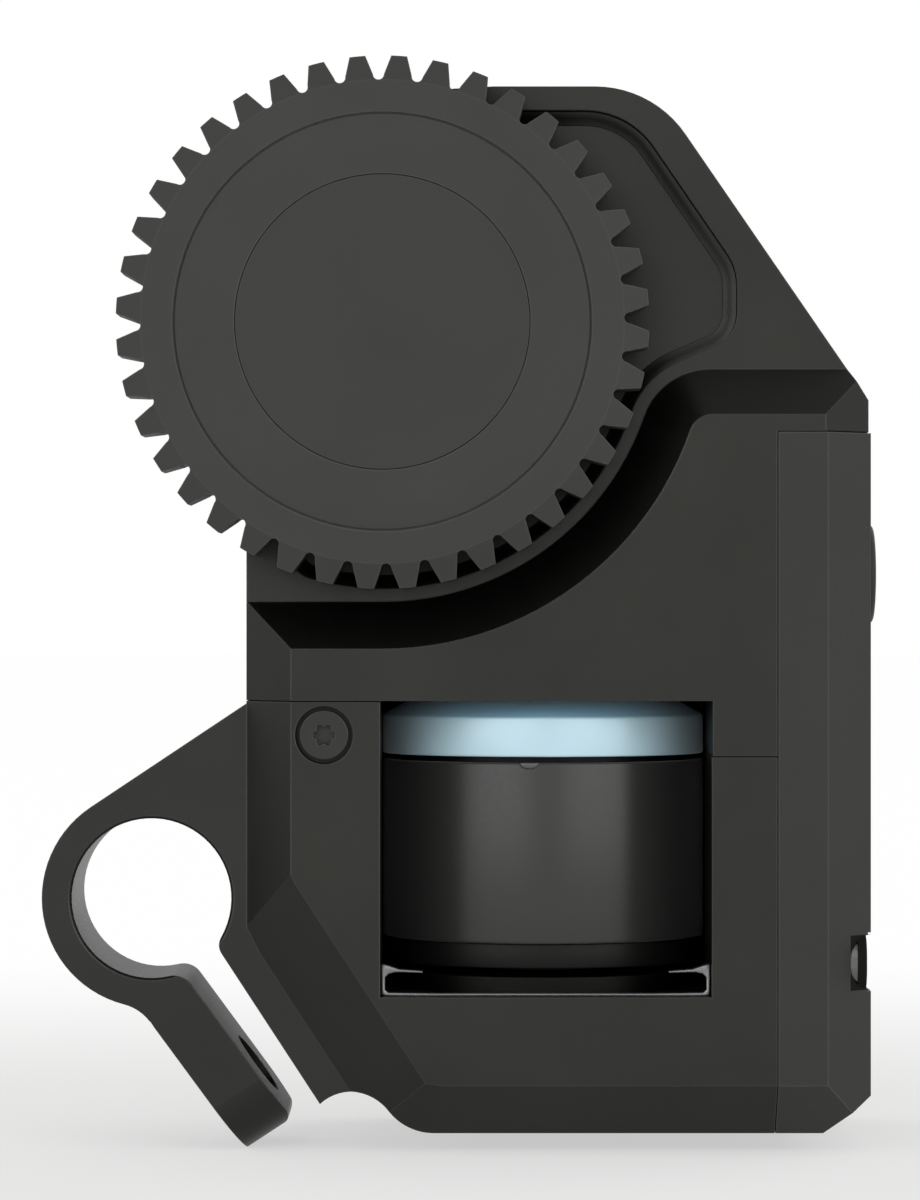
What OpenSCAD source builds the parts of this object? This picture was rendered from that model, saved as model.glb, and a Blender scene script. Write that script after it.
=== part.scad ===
// Follow focus unit: a motor that clamps on a 10 mm rod and turns a lens ring with its gear.
// Lengths are in millimetres. X runs to the right, Z up, and Y away from the gear's face.
// The origin is the centre of the rod clamp's bore, half way along it.

/* [Rod clamp] */
// Diameter of the rod that the unit clamps on
rod_d = 10; // [8:0.5:12]
// Radial play of the open clamp round the rod
rod_play = 0.1; // [0.02:0.01:0.2]
// Wall of the clamp's ring
ring_wall = 1.9; // [1.4:0.1:2.4]
// Length of the clamp along the rod
clamp_len = 11.2; // [9:0.1:13]
// Width of the clamp's slot
slot_w = 2.68; // [2:0.02:3.2]
// Distance from the bore's axis to the middle of the slot
slot_shift = 0.47; // [0.2:0.01:0.8]
// Tilt of the slot below the horizontal
slot_tilt = 56.8; // [54:0.2:60]
// Distance from the bore's axis to the end of the arm
arm_reach = 16.85; // [16:0.05:17.4]
// Amount by which the arm's end leans into the slot
arm_lean = 0.6; // [0.2:0.05:0.8]
// Thickness of the arm beside the ring
arm_root_t = 3.5; // [3:0.1:4]
// Thickness of the arm at its end, apart from its lean
arm_tip_t = 2.95; // [2.5:0.05:3.3]
// Thickness of the body's flange across the slot from the arm
flange_t = 2.04; // [1.6:0.02:2.4]
// Radius of the arm's two end corners, seen along the screw
arm_corner_r = 3.5; // [2.5:0.1:4.5]
// Distance from the arm's end to the clamp screw's axis
screw_inset = 4.03; // [3.4:0.01:4.4]
// Diameter of the clamp screw
clamp_screw_d = 4; // [3:0.5:4]
// Radial play of the clamp screw in the arm
clamp_screw_play = 0.2; // [0.1:0.05:0.3]
// Depth of the clamp screw's thread in the body
clamp_thread_len = 5; // [4:0.1:5.4]

/* [Body] */
// Distance from the rod's axis to the left side of the body
body_gap = 6.07; // [5.8:0.01:6.4]
// Width of the body
body_w = 39.73; // [39:0.01:41]
// Height of the body's top over the rod's axis
body_top = 51.85; // [51.5:0.05:52.4]
// Depth of the body's bottom under the rod's axis
body_bottom = 15; // [14.5:0.05:15.5]
// Depth of the body behind the rod clamp's front face
body_depth = 22.2; // [21.8:0.1:24]
// Height of the raised front over the clamp's front face
face_rise = 3; // [2.6:0.05:3.4]
// Width of the raised front's bevel on the left and right
side_bevel = 2.93; // [2.4:0.01:3.2]
// Width of the raised front's bevel at the bottom
bottom_bevel = 3.3; // [2.8:0.05:3.6]
// Width of the bevel down to the clamp's flange
flange_bevel = 4.5; // [4:0.05:5]
// Radius of the raised front's lower left corner
face_corner_r = 2.3; // [1.6:0.1:3]
// Radius of the raised front's corner beside the rod
face_side_r = 2.5; // [1.6:0.1:3]
// Height over the rod's axis where the right shoulder starts
shoulder_z = 31.8; // [31.2:0.1:32.4]
// Tilt of the right shoulder below the horizontal
shoulder_tilt = 55.5; // [54:0.5:57]
// Radius between the top and the shoulder
shoulder_r = 7; // [6:0.1:8]
// Height of the raised front's upper right edge over the rod's axis
face_top = 30.8; // [30.4:0.1:31.2]
// Width of the cut at the lower right corner
corner_w = 2.9; // [2.4:0.05:3.2]
// Height of the cut at the lower right corner
corner_h = 2.4; // [2:0.05:3]
// Radius of the hollow under the clamp's flange
hollow_r = 3; // [2.6:0.05:3.3]
// Radius between that hollow and the bottom
hollow_lip_r = 3.5; // [2.5:0.1:4]

/* [Gear pocket] */
// Distance of the drive gear's axis to the right of the rod's axis
gear_x = 14.83; // [14.5:0.01:15.1]
// Height of the drive gear's axis over the rod's axis
gear_z = 36.54; // [36.3:0.01:36.8]
// Amount by which the pocket's curve lies inside the gear's tips
pocket_in = 0.05; // [0:0.05:0.3]
// Depth of the pocket under the clamp's front face
pocket_depth = 1.6; // [1.2:0.1:2]
// Distance from the body's left side to the pocket's left edge
pocket_left_inset = 2.8; // [2.4:0.1:3.4]
// Width of the lip between the pocket and the raised front's foot
lip_w = 0.85; // [0.6:0.05:1.1]
// Radius of the body behind the gear
boss_r = 14.9; // [14.7:0.1:15]
// Width of the rim at the pocket's top
rim_top = 1.53; // [1.2:0.01:2]
// Width of the rim along the shoulder
rim_side = 2.13; // [1.8:0.01:2.6]
// Distance from the pocket's right edge to the body's right side
pocket_inset = 8.4; // [7.8:0.1:9]
// Radius of the raised front's corner beside the pocket
face_bend_r = 1.5; // [1:0.1:2]

/* [Drive gear] */
// Number of teeth of the drive gear
gear_teeth = 40; // [38:1:41]
// Module of the drive gear's teeth
gear_module = 0.8; // [0.78:0.01:0.8]
// Thickness of the drive gear
gear_t = 5.1; // [4.6:0.1:5.6]
// Gap between the drive gear and the clamp's front face
gear_gap = 0.3; // [0.2:0.05:0.5]
// Radius at the foot of the gap between two teeth
gear_foot_r = 0.34; // [0.25:0.01:0.36]
// Slant of a tooth's side to the middle of the gap beside it
gear_flank_a = 21; // [19:0.5:22]
// Radius of the groove on the gear's face
groove_r = 13.03; // [12.6:0.05:13.4]
// Radius of the gear's centre cap
cap_r = 9.26; // [8.6:0.05:9.8]
// Thickness of the gear's centre cap
cap_t = 1; // [0.8:0.1:1.4]

/* [Motor window] */
// Width of the motor's window
window_w = 21; // [20.6:0.1:21.2]
// Distance from the rod's axis to the window's left edge
window_x = 14.65; // [14.5:0.05:14.8]
// Height of the window's top over the rod's axis
window_top = 12.6; // [12.4:0.05:12.8]
// Depth of the window's bottom under the rod's axis
window_bottom = 6.1; // [5.9:0.05:6.3]
// Height of the housing's seam right of the window
seam_z = 9.1; // [8.6:0.05:9.6]

/* [Motor] */
// Radius of the motor's rotor
rotor_r = 10.5; // [10.2:0.05:10.6]
// Radial gap between the rotor and the housing
rotor_gap = 0.3; // [0.2:0.05:0.4]
// Depth of the rotor's front under the raised front
rotor_sink = 1.7; // [1.6:0.05:1.9]
// Height of the rotor's coloured ring
ring_h = 2.5; // [2.2:0.05:2.8]
// Height of the ring's lower edge over the rod's axis
ring_z = 9.06; // [8.9:0.02:9.2]
// Height of the cone on top of the ring
cone_h = 2.7; // [2.4:0.05:2.9]
// Height of the rotor's can under the ring
can_h = 11.9; // [11.6:0.05:12.1]
// Height of the rotor's black lower rim
rim_h = 1.6; // [1.4:0.05:1.8]
// Diameter of the motor's shaft
motor_shaft_d = 3; // [2.6:0.1:3.2]

/* [Side cover] */
// Width of the side cover, from its seam to the body's right side
cover_w = 6; // [5.8:0.05:6.2]
// Height of the cover's top over the rod's axis
cover_top = 29.7; // [29.4:0.05:30]
// Amount that the cover stands proud of the body's side
cover_proud = 0.15; // [0.05:0.05:0.2]
// Wall of the cover
cover_wall = 1.65; // [1.4:0.05:1.9]
// Diameter of the side button
button_d = 6.6; // [5.8:0.1:7]
// Height of the side button over the rod's axis
button_z = 20.75; // [20:0.05:21.4]
// Amount that the middle of the side button stands proud of the cover
button_proud = 0.85; // [0.7:0.05:1.1]
// Travel of the side button
button_travel = 0.3; // [0.2:0.05:0.3]
// Height of the port's middle over the rod's axis
port_z = -4.05; // [-4.4:0.05:-3.8]

/* [Hidden] */
$fn = 72;
// Overrun of every cut past the face that it opens
over = 0.5;
// Amount by which a rounding crosses a face that it would otherwise only touch
cross_lap = 0.02;

// Depths of the front faces and the back, along Y
base_y = -clamp_len / 2;
face_y = base_y - face_rise;
floor_y = base_y + pocket_depth;
back_y = base_y + body_depth;
// The clamp's front face, a hair in front of the bevels' feet
clamp_front = base_y - cross_lap;
// Sides of the body
left_x = body_gap;
right_x = body_gap + body_w;
cover_x = right_x - cover_w;
reach = body_w + body_top;

// Unit vector at an angle, and the offset of a point along it
function way(a) = [cos(a), sin(a)];
function unit(v) = v / norm(v);
// Centre of a circle of radius r that touches both sides of the corner p between a and b
function corner_centre(a, p, b, r) =
    let (u = unit(a - p), w = unit(b - p)) p + unit(u + w) * r / sin(acos(u * w) / 2);
function corner_run(a, p, b, r) = r / tan(acos(unit(a - p) * unit(b - p)) / 2);
// Point where the line of normal angle a at distance d meets the line of normal angle b at distance e
function crossing(a, d, b, e) =
    [d * sin(b) - e * sin(a), e * cos(a) - d * cos(b)] / sin(b - a);

// Extrudes an X-Z outline from depth y0 to depth y1
module slab(y0, y1) {
    translate([0, y1, 0]) rotate([90, 0, 0]) linear_extrude(y1 - y0) children();
}
module bar_y(r, y0, y1) {
    translate([0, y0, 0]) rotate([-90, 0, 0]) cylinder(r = r, h = y1 - y0);
}
module cone_y(r0, r1, y0, y1) {
    translate([0, y0, 0]) rotate([-90, 0, 0]) cylinder(r1 = r0, r2 = r1, h = y1 - y0);
}
module bar_x(r, x0, x1) {
    translate([x0, 0, 0]) rotate([0, 90, 0]) cylinder(r = r, h = x1 - x0);
}
module bar_z(r, z0, z1) {
    translate([0, 0, z0]) cylinder(r = r, h = z1 - z0);
}
// The part of a corner outside its rounding circle, which may cross the corner's sides by lap
module corner_sliver(a, p, b, r, lap = 0) {
    c = corner_centre(a, p, b, r - lap);
    run = corner_run(a, p, b, r);
    difference() {
        polygon([c, p + unit(a - p) * run, p + unit(p - c) * over, p + unit(b - p) * run]);
        translate(c) circle(r);
    }
}
// A convex outline with one radius for each of its corners
module rounded(points, radii) {
    n = len(points);
    difference() {
        polygon(points);
        for (i = [0 : n - 1]) {
            if (radii[i] > 0) {
                corner_sliver(points[(i + n - 1) % n], points[i], points[(i + 1) % n], radii[i]);
            }
        }
    }
}
// Cuts the front down to the clamp's face, past a line of normal angle a at distance d
module bevel(a, d, run, from = -reach, to = reach) {
    slope = run / face_rise;
    rotate([0, -a, 0]) translate([0, 0, from]) linear_extrude(to - from) polygon([
        [d - over * slope, face_y - over],
        [d + reach, face_y - over],
        [d + reach, base_y],
        [d + run, base_y]]);
}

// Rod clamp, in a frame whose x runs along the slot and z across it
bore_r = rod_d / 2 + rod_play;
ring_r = bore_r + ring_wall;
slot_low = slot_shift - slot_w / 2;
slot_high = slot_shift + slot_w / 2;
flange_foot = slot_high + flange_t;
screw_s = arm_reach - screw_inset;
arm_top_r = 1.4;
flange_top_r = 1;
arm_root_r = 3;
arm_tip_r = 0.8;
bore_chamfer = 0.15;
diagonal = 90 - slot_tilt;
// Top of the clamp's web, just under the seam
web_top = window_top - bore_chamfer;
web_lap = 2;
web_end = [left_x, web_top];
web_touch = ring_r * way(atan2(web_end[1], web_end[0]) + acos(ring_r / norm(web_end)));
// Arm's outer edge
arm_a = [ring_r, slot_low - arm_root_t];
arm_b = [arm_reach, slot_low - arm_tip_t];
arm_slope = atan2(arm_b[1] - arm_a[1], arm_b[0] - arm_a[0]);
arm_off = -arm_a * way(arm_slope + 90);
arm_blend = let (t = arm_off + arm_root_r, s = sqrt(pow(ring_r + arm_root_r, 2) - t * t))
    s * way(arm_slope) - t * way(arm_slope + 90);
// Hollow under the flange, whose edge passes the flange's end beside the slot
hollow_s = arm_reach + hollow_r;
hollow_t = slot_high + hollow_r / 6;
hollow_c = [hollow_s * cos(slot_tilt) + hollow_t * sin(slot_tilt),
    hollow_t * cos(slot_tilt) - hollow_s * sin(slot_tilt)];
module clamp_frame() {
    rotate([0, slot_tilt, 0]) children();
}
// Wedge from the bore's axis to the circle c, which rounds the corner whose foot is given
module throat(c, foot, r) {
    difference() {
        polygon([[0, 0], c, foot]);
        translate(c) circle(r);
    }
}
// Centre of a circle outside the bore that touches the slot's side at t, on the given side
function shoulder(t, r, side) =
    let (h = t + side * r) [sqrt(pow(bore_r + r, 2) - h * h), h];
arm_top = shoulder(slot_low, arm_top_r, -1);
flange_top = shoulder(slot_high, flange_top_r, 1);
// Arm's side of the slot, from the rounding at its top to its end
arm_side = [arm_top[0], slot_low];
arm_end_side = [arm_reach, slot_low + arm_lean];
arm_side_out = arm_side + (arm_end_side - arm_side) * (1 + over / arm_reach);
module clamp_outline() {
    difference() {
        union() {
            circle(ring_r);
            polygon([web_touch, [0, 0], [left_x + web_lap, 0], [left_x + web_lap, web_top], web_end]);
            rotate(-slot_tilt) {
                polygon([[0, slot_high], [0, slot_low - arm_root_t], arm_a, arm_b, [arm_reach, slot_high]]);
                throat(arm_blend, arm_blend + way(arm_slope + 90) * arm_root_r, arm_root_r);
                translate([0, slot_high]) square([hollow_s, flange_t + web_lap]);
            }
        }
        circle(bore_r);
        rotate(-slot_tilt) {
            polygon([
                [0, slot_low],
                arm_side,
                arm_side_out,
                [reach, arm_side_out[1]],
                [reach, slot_high],
                [0, slot_high]]);
            throat(arm_top, arm_side, arm_top_r);
            throat(flange_top, [flange_top[0], slot_high], flange_top_r);
            corner_sliver(arm_side, arm_end_side, arm_b, arm_tip_r, cross_lap);
        }
    }
}
// What is outside the rounding of the arm's end, whose circle just crosses the arm's faces
module arm_end(side) {
    c = [arm_reach - arm_corner_r + cross_lap, side * (arm_corner_r - cross_lap + base_y)];
    difference() {
        polygon([
            c,
            c + [over / 4, -side * (arm_corner_r + over)],
            [arm_reach + over, side * (base_y - over)],
            c + [arm_corner_r + over, -side * over / 4]]);
        translate(c) circle(arm_corner_r);
    }
}
module clamp_block() {
    difference() {
        slab(clamp_front, -base_y) clamp_outline();
        cone_y(bore_r + bore_chamfer + over, bore_r, base_y - over, base_y + bore_chamfer);
        cone_y(bore_r, bore_r + bore_chamfer + over, -base_y - bore_chamfer, -base_y + over);
        clamp_frame() {
            translate([screw_s, 0, 0]) {
                bar_z(clamp_screw_d / 2 + clamp_screw_play, slot_low - ring_r, slot_low + arm_lean + over / 2);
            }
            for (side = [-1, 1]) {
                translate([0, 0, slot_low - ring_r]) linear_extrude(ring_r + slot_w / 2) arm_end(side);
            }
        }
    }
}

// Body outline, seen from the front
shoulder_out = right_x * cos(90 - shoulder_tilt) + shoulder_z * sin(90 - shoulder_tilt);
body_corner = crossing(90 - shoulder_tilt, shoulder_out, 90, body_top);
// Where the flat top starts, and where its run-in leaves the round boss
top_run = 7;
top_start = [gear_x + top_run, body_top];
function run_in(p, r) =
    let (arm = p - [gear_x, gear_z], short = r - cross_lap)
    norm(arm) > short
        ? [gear_x, gear_z] + short * way(atan2(arm[1], arm[0]) + acos(short / norm(arm)))
        : [gear_x, p[1]];
// Rounding between the hollow and the bottom
lip_c = let (h = hollow_lip_r - body_bottom - hollow_c[1])
    hollow_c + [sqrt(pow(hollow_r + hollow_lip_r, 2) - h * h), h];
module body_outline(side_x) {
    difference() {
        union() {
            polygon([
                [left_x, (flange_foot - left_x * sin(slot_tilt)) / cos(slot_tilt)],
                [(flange_foot + body_bottom * cos(slot_tilt)) / sin(slot_tilt), -body_bottom],
                [right_x - corner_w, -body_bottom],
                [side_x, -body_bottom + corner_h],
                [side_x, shoulder_z],
                body_corner,
                top_start,
                run_in(top_start, boss_r),
                [gear_x, gear_z],
                [left_x, gear_z - boss_r * cos(45)]]);
            translate([gear_x, gear_z]) circle(boss_r);
        }
        corner_sliver(top_start, body_corner, [right_x, shoulder_z], shoulder_r);
    }
}
// Hollow under the clamp's flange, with the rounding that leads to the bottom
module hollow_outline() {
    translate(hollow_c) circle(hollow_r);
    difference() {
        polygon([hollow_c, lip_c, [lip_c[0], -body_bottom - over], [hollow_c[0], -body_bottom - over]]);
        translate(lip_c) circle(hollow_lip_r);
    }
}

// Raised front and gear pocket
tip_r = gear_module * (gear_teeth / 2 + 1);
pocket_r = tip_r - pocket_in;
foot_r = pocket_r + lip_w;
crest_r = foot_r + face_rise;
// Centre of the bend between the curve round the gear and the upper right edge
bend_z = face_top - face_bend_r;
bend_x = gear_x + sqrt(pow(crest_r + face_bend_r, 2) - pow(gear_z - bend_z, 2));
bend_a = atan2(gear_z - bend_z, gear_x - bend_x);
bend_pocket_r = face_bend_r + face_rise + lip_w;
face_left = left_x + side_bevel;
face_bottom = body_bottom - bottom_bevel;
flange_crest = flange_foot + flange_bevel;
face_corner = crossing(diagonal + 180, -flange_crest - face_corner_r, 270, face_bottom - face_corner_r);
face_side = crossing(180, -face_left - face_side_r, diagonal + 180, -flange_crest - face_side_r);
corner_steps = 6;
side_steps = 4;
module at_gear() {
    translate([gear_x, 0, gear_z]) children();
}
module upper_cut() {
    crest = gear_z - crest_r;
    bevel(90, crest, face_rise, -gear_x, reach);
    bevel(90, face_top, face_rise, -reach, -bend_x);
    at_gear() cone_y(crest_r + over, foot_r, face_y - over, base_y);
    difference() {
        slab(face_y - over, base_y) translate([bend_x, bend_z]) {
            polygon([[0, 0], reach * way(90), reach * way(bend_a)]);
        }
        translate([bend_x, 0, bend_z]) {
            cone_y(face_bend_r - 2 * over, face_bend_r + face_rise + over, face_y - 2 * over, base_y + over);
        }
    }
}
module front_cuts(side_x) {
    upper_cut();
    bevel(180, -face_left, side_bevel);
    bevel(0, side_x - side_bevel, side_bevel);
    bevel(270, face_bottom, bottom_bevel);
    bevel(180 + diagonal, -flange_crest, flange_bevel);
    for (i = [1 : corner_steps]) {
        share = i / (corner_steps + 1);
        a = 180 + diagonal + share * slot_tilt;
        bevel(a, face_corner * way(a) + face_corner_r, flange_bevel + share * (bottom_bevel - flange_bevel));
    }
    for (i = [1 : side_steps]) {
        share = i / (side_steps + 1);
        a = 180 + share * diagonal;
        bevel(a, face_side * way(a) + face_side_r, side_bevel + share * (flange_bevel - side_bevel));
    }
}
// Pocket's outline: the gear's circle and its stretch into the shoulder
pocket_line = shoulder_out - rim_side;
pocket_right = right_x - pocket_inset;
pocket_top = body_top - rim_top;
pocket_floor_tilt = 23;
pocket_a = crossing(90 - shoulder_tilt, pocket_line, 90, pocket_top);
pocket_b = crossing(90 - shoulder_tilt, pocket_line, 0, pocket_right);
bend_c = [bend_x, bend_z];
pocket_d = bend_c + bend_pocket_r * way(90 + pocket_floor_tilt);
pocket_c = [pocket_right, pocket_d[1] + (pocket_right - pocket_d[0]) * tan(pocket_floor_tilt)];
pocket_e = bend_c + bend_pocket_r * way(bend_a);
pocket_radii = [5.3, 3.5, 2.5];
// Rounding of the pocket's lower left corner, whose circle just crosses the curve round the gear
pocket_left = left_x + pocket_left_inset;
pocket_left_r = 1.8;
pocket_left_c = let (x = pocket_left + pocket_left_r - cross_lap, reach_r = pocket_r - pocket_left_r + cross_lap)
    [x, gear_z - sqrt(pow(reach_r, 2) - pow(gear_x - x, 2))];
module pocket_outline() {
    difference() {
        union() {
            translate(pocket_left_c) circle(pocket_left_r);
            intersection() {
                translate([gear_x, gear_z]) circle(pocket_r);
                polygon([
                    [gear_x, pocket_top],
                    [pocket_left, gear_z],
                    [pocket_left, pocket_left_c[1]],
                    pocket_left_c,
                    pocket_left_c + unit(pocket_left_c - [gear_x, gear_z]) * (pocket_left_r + over),
                    [gear_x, gear_z - pocket_r - over],
                    [gear_x + reach, gear_z - pocket_r - over],
                    [gear_x + reach, pocket_top]]);
            }
            difference() {
                polygon([[gear_x, gear_z], pocket_e, pocket_d, pocket_c, pocket_b, pocket_a, [gear_x, pocket_top]]);
                corner_sliver(pocket_d, pocket_c, pocket_b, pocket_radii[2]);
                corner_sliver(pocket_c, pocket_b, pocket_a, pocket_radii[1]);
                corner_sliver(pocket_b, pocket_a, [gear_x, pocket_top], pocket_radii[0]);
            }
        }
        translate(bend_c) circle(bend_pocket_r);
    }
}
module body_form(side_x) {
    difference() {
        slab(face_y, back_y) body_outline(side_x);
        front_cuts(side_x);
        slab(face_y - over, floor_y) pocket_outline();
    }
}
// Seams: the gearbox housing lies over them, the side cover right of its own
seam_gap = 0.06;
window_right = window_x + window_w;
side_x = right_x + cover_proud;
module above_seam(gap) {
    polygon([
        [-reach, window_top + gap],
        [window_right + gap, window_top + gap],
        [window_right + gap, seam_z + gap],
        [cover_x, seam_z + gap],
        [cover_x, cover_top + gap],
        [reach, cover_top + gap],
        [reach, reach],
        [-reach, reach]]);
}
module below_seam() {
    polygon([
        [-reach, -reach],
        [cover_x, -reach],
        [cover_x, seam_z],
        [window_right, seam_z],
        [window_right, window_top],
        [-reach, window_top]]);
}

// Gear train, each axis at its real centre distance
spur_module = 0.5;
wheel_teeth = 42;
lay_teeth = 14;
crown_teeth = 24;
motor_teeth = 12;
pressure_a = 20;
tooth_play = 0.04;
train_r = spur_module * (wheel_teeth + lay_teeth) / 2;
motor_x = window_x + window_w / 2;
motor_y = face_y + rotor_sink + rotor_r;
lay_x = motor_x;
lay_z = gear_z - sqrt(train_r * train_r - pow(lay_x - gear_x, 2));
lay_a = atan2(lay_z - gear_z, lay_x - gear_x);
// Addendum and dedendum shares of the module, for the small gears
train_tooth_shares = [0.9, 1.2];
function involute(a) = tan(a) - a * PI / 180;
// Half angle of a tooth at radius r
function tooth_half(teeth, m, r, play) =
    let (pitch = m * teeth / 2, a = acos(min(1, pitch * cos(pressure_a) / r)))
    90 / teeth + (involute(pressure_a) - involute(a)) * 180 / PI - play / pitch * 90 / PI;
flank_steps = 5;
module gear_outline(teeth, m, shares, play) {
    pitch = m * teeth / 2;
    root = pitch - m * shares[1];
    tip = pitch + m * shares[0];
    radii = [for (i = [1 : flank_steps]) root + (tip - root) * i / flank_steps];
    low = root - m * shares[0] / 2;
    circle(root);
    for (i = [0 : teeth - 1]) {
        rotate(i * 360 / teeth) {
            polygon(concat(
                [low * way(-tooth_half(teeth, m, root, play))],
                [for (r = radii) r * way(-tooth_half(teeth, m, r, play))],
                [for (k = [1 : flank_steps])
                    radii[flank_steps - k] * way(tooth_half(teeth, m, radii[flank_steps - k], play))],
                [low * way(tooth_half(teeth, m, root, play))]));
        }
    }
}
// Turned piece about Y from points of radius and depth
module turned(points) {
    rotate([-90, 0, 0]) rotate_extrude() polygon(points);
}
module ball_bearing(r_in, r_out, width) {
    shield = (r_out - r_in) / 5;
    difference() {
        cylinder(r = r_out, h = width);
        translate([0, 0, -over]) cylinder(r = r_in, h = width + 2 * over);
        for (z = [-over, width - shield / 2]) {
            translate([0, 0, z]) difference() {
                cylinder(r = r_out - shield, h = over + shield / 2);
                translate([0, 0, -over]) cylinder(r = r_in + shield, h = 3 * over + shield);
            }
        }
    }
}
module bearing_y(r_in, r_out, y0, width) {
    translate([0, y0, 0]) rotate([-90, 0, 0]) ball_bearing(r_in, r_out, width);
}
module at_layshaft() {
    translate([lay_x, 0, lay_z]) children();
}
module at_motor() {
    translate([motor_x, motor_y, 0]) children();
}

// Shafts, bearings and their seats
run_play = 0.03;
out_shaft_r = 2.5;
out_bearing_r = 4.5;
out_bearing_w = 2.8;
lay_shaft_r = 1.5;
lay_bearing_r = 3;
lay_bearing_w = 2;
motor_shaft_r = motor_shaft_d / 2;
motor_bearing_r = 3;
motor_bearing_w = 2.5;
seat_wall = 1.5;
front_wall = 1.6;
wall_y = floor_y + front_wall;
rear_t = 1.8;
rear_y = back_y - rear_t;
seat_step = 0.6;
out_seat_y = floor_y + seat_step;
out_seat_end = out_seat_y + out_bearing_w;
lay_seat_end = wall_y + lay_bearing_w;
wheel_y = out_seat_end + seat_step;
wheel_t = 3;
wheel_tip = spur_module * (wheel_teeth / 2 + train_tooth_shares[0]);
chamber_gap = 0.5;
chamber_r = wheel_tip + chamber_gap;
// Crown wheel: its pitch plane touches the motor pinion's pitch circle
motor_pitch = spur_module * motor_teeth / 2;
crown_y = motor_y + motor_pitch;
crown_mean = spur_module * crown_teeth / 2;
crown_face = 1.4;
crown_r = crown_mean + crown_face / 2 + tooth_play * 4;
crown_rise = 0.3;
crown_root = 0.65;
crown_t = 1.6;
crown_tooth_w = 0.48;
crown_chamber = crown_r + chamber_gap;

// Rotor's space and the motor's upper bearing
dome_top = ring_z + ring_h + cone_h + chamber_gap;
bore_lip = 0.7;
top_seat_z = dome_top + bore_lip;
pinion_floor = top_seat_z + motor_bearing_w;
motor_bore_r = rotor_r + rotor_gap;
pinion_pocket_r = spur_module * (motor_teeth / 2 + train_tooth_shares[0]) + chamber_gap;

// Electronics bay between the housings and the side cover, round the cover's two screw posts
bay_wall = 1.45;
bay_lead = 2.4;
bay_x = max(cover_x - bay_lead, motor_x + motor_bore_r + bay_wall);
bay_lip = 1;
bay_front = face_y + cover_wall + bay_lip;
bay_back = back_y - 1.5 * cover_wall;
bay_low = -body_bottom + 1.7 * cover_wall;
bay_high = cover_top - 1.4 * cover_wall;
module bay() {
    difference() {
        translate([bay_x, bay_front, bay_low]) cube([reach, bay_back - bay_front, bay_high - bay_low]);
        for (p = post_spots) {
            translate([0, p[0], p[1]]) bar_x(cover_post_r, bay_x - over, cover_x);
        }
    }
    for (p = post_spots) {
        translate([0, p[0], p[1]]) bar_x(screw_r, side_x - screw_sink - side_screw_len, cover_x + over);
    }
}

// Screws: a pan head with a star recess, its top at the origin and its shank along +Z
star_lobes = 6;
star_depth_share = 0.6;
star_share = 0.34;
lobe_share = 0.12;
module screw(head_r, head_h, shank_r, length) {
    difference() {
        union() {
            cylinder(r = head_r, h = head_h);
            cylinder(r = shank_r, h = length);
        }
        translate([0, 0, -over]) linear_extrude(over + head_h * star_depth_share) union() {
            circle(head_r * star_share);
            for (i = [0 : star_lobes - 1]) {
                rotate(i * 360 / star_lobes) translate([head_r * star_share, 0]) circle(head_r * lobe_share);
            }
        }
    }
}
screw_r = 1;
screw_head_r = 1.55;
screw_head_h = 1.1;
screw_head_gap = 0.28;
screw_sink = 0.15;
module screw_y(y, turn, length) {
    translate([0, y, 0]) rotate([-90 * turn, 0, 0]) screw(screw_head_r, screw_head_h, screw_r, length);
}
// Housing screws, through the clamp housing into the gearbox housing's tongue
joint_x = 11.1;
joint_z = 10.5;
tongue_w = 4.4;
tongue_low = 2.6;
tongue_in = 4.2;
tongue_rear_in = 3.6;
tongue_front = face_y + tongue_in;
tongue_back = back_y - tongue_rear_in;
joint_len = 6.4;
tongue_gap = 0.1;
module tongue(gap) {
    translate([joint_x - tongue_w / 2 - gap, tongue_front - gap, joint_z - tongue_low]) {
        cube([tongue_w + 2 * gap, tongue_back - tongue_front + 2 * gap, tongue_low + window_top - joint_z + over]);
    }
}
module joint_screws() {
    translate([joint_x, 0, joint_z]) {
        screw_y(face_y + screw_sink, 1, joint_len);
        screw_y(back_y - screw_sink, -1, joint_len);
    }
}
module joint_holes() {
    recess = screw_sink + screw_head_h;
    translate([joint_x, 0, joint_z]) {
        bar_y(screw_head_r + screw_head_gap, face_y - over, face_y + recess);
        bar_y(screw_head_r + screw_head_gap, back_y - recess, back_y + over);
        bar_y(screw_r, face_y, face_y + screw_sink + joint_len);
        bar_y(screw_r, back_y - screw_sink - joint_len, back_y);
    }
}

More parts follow.
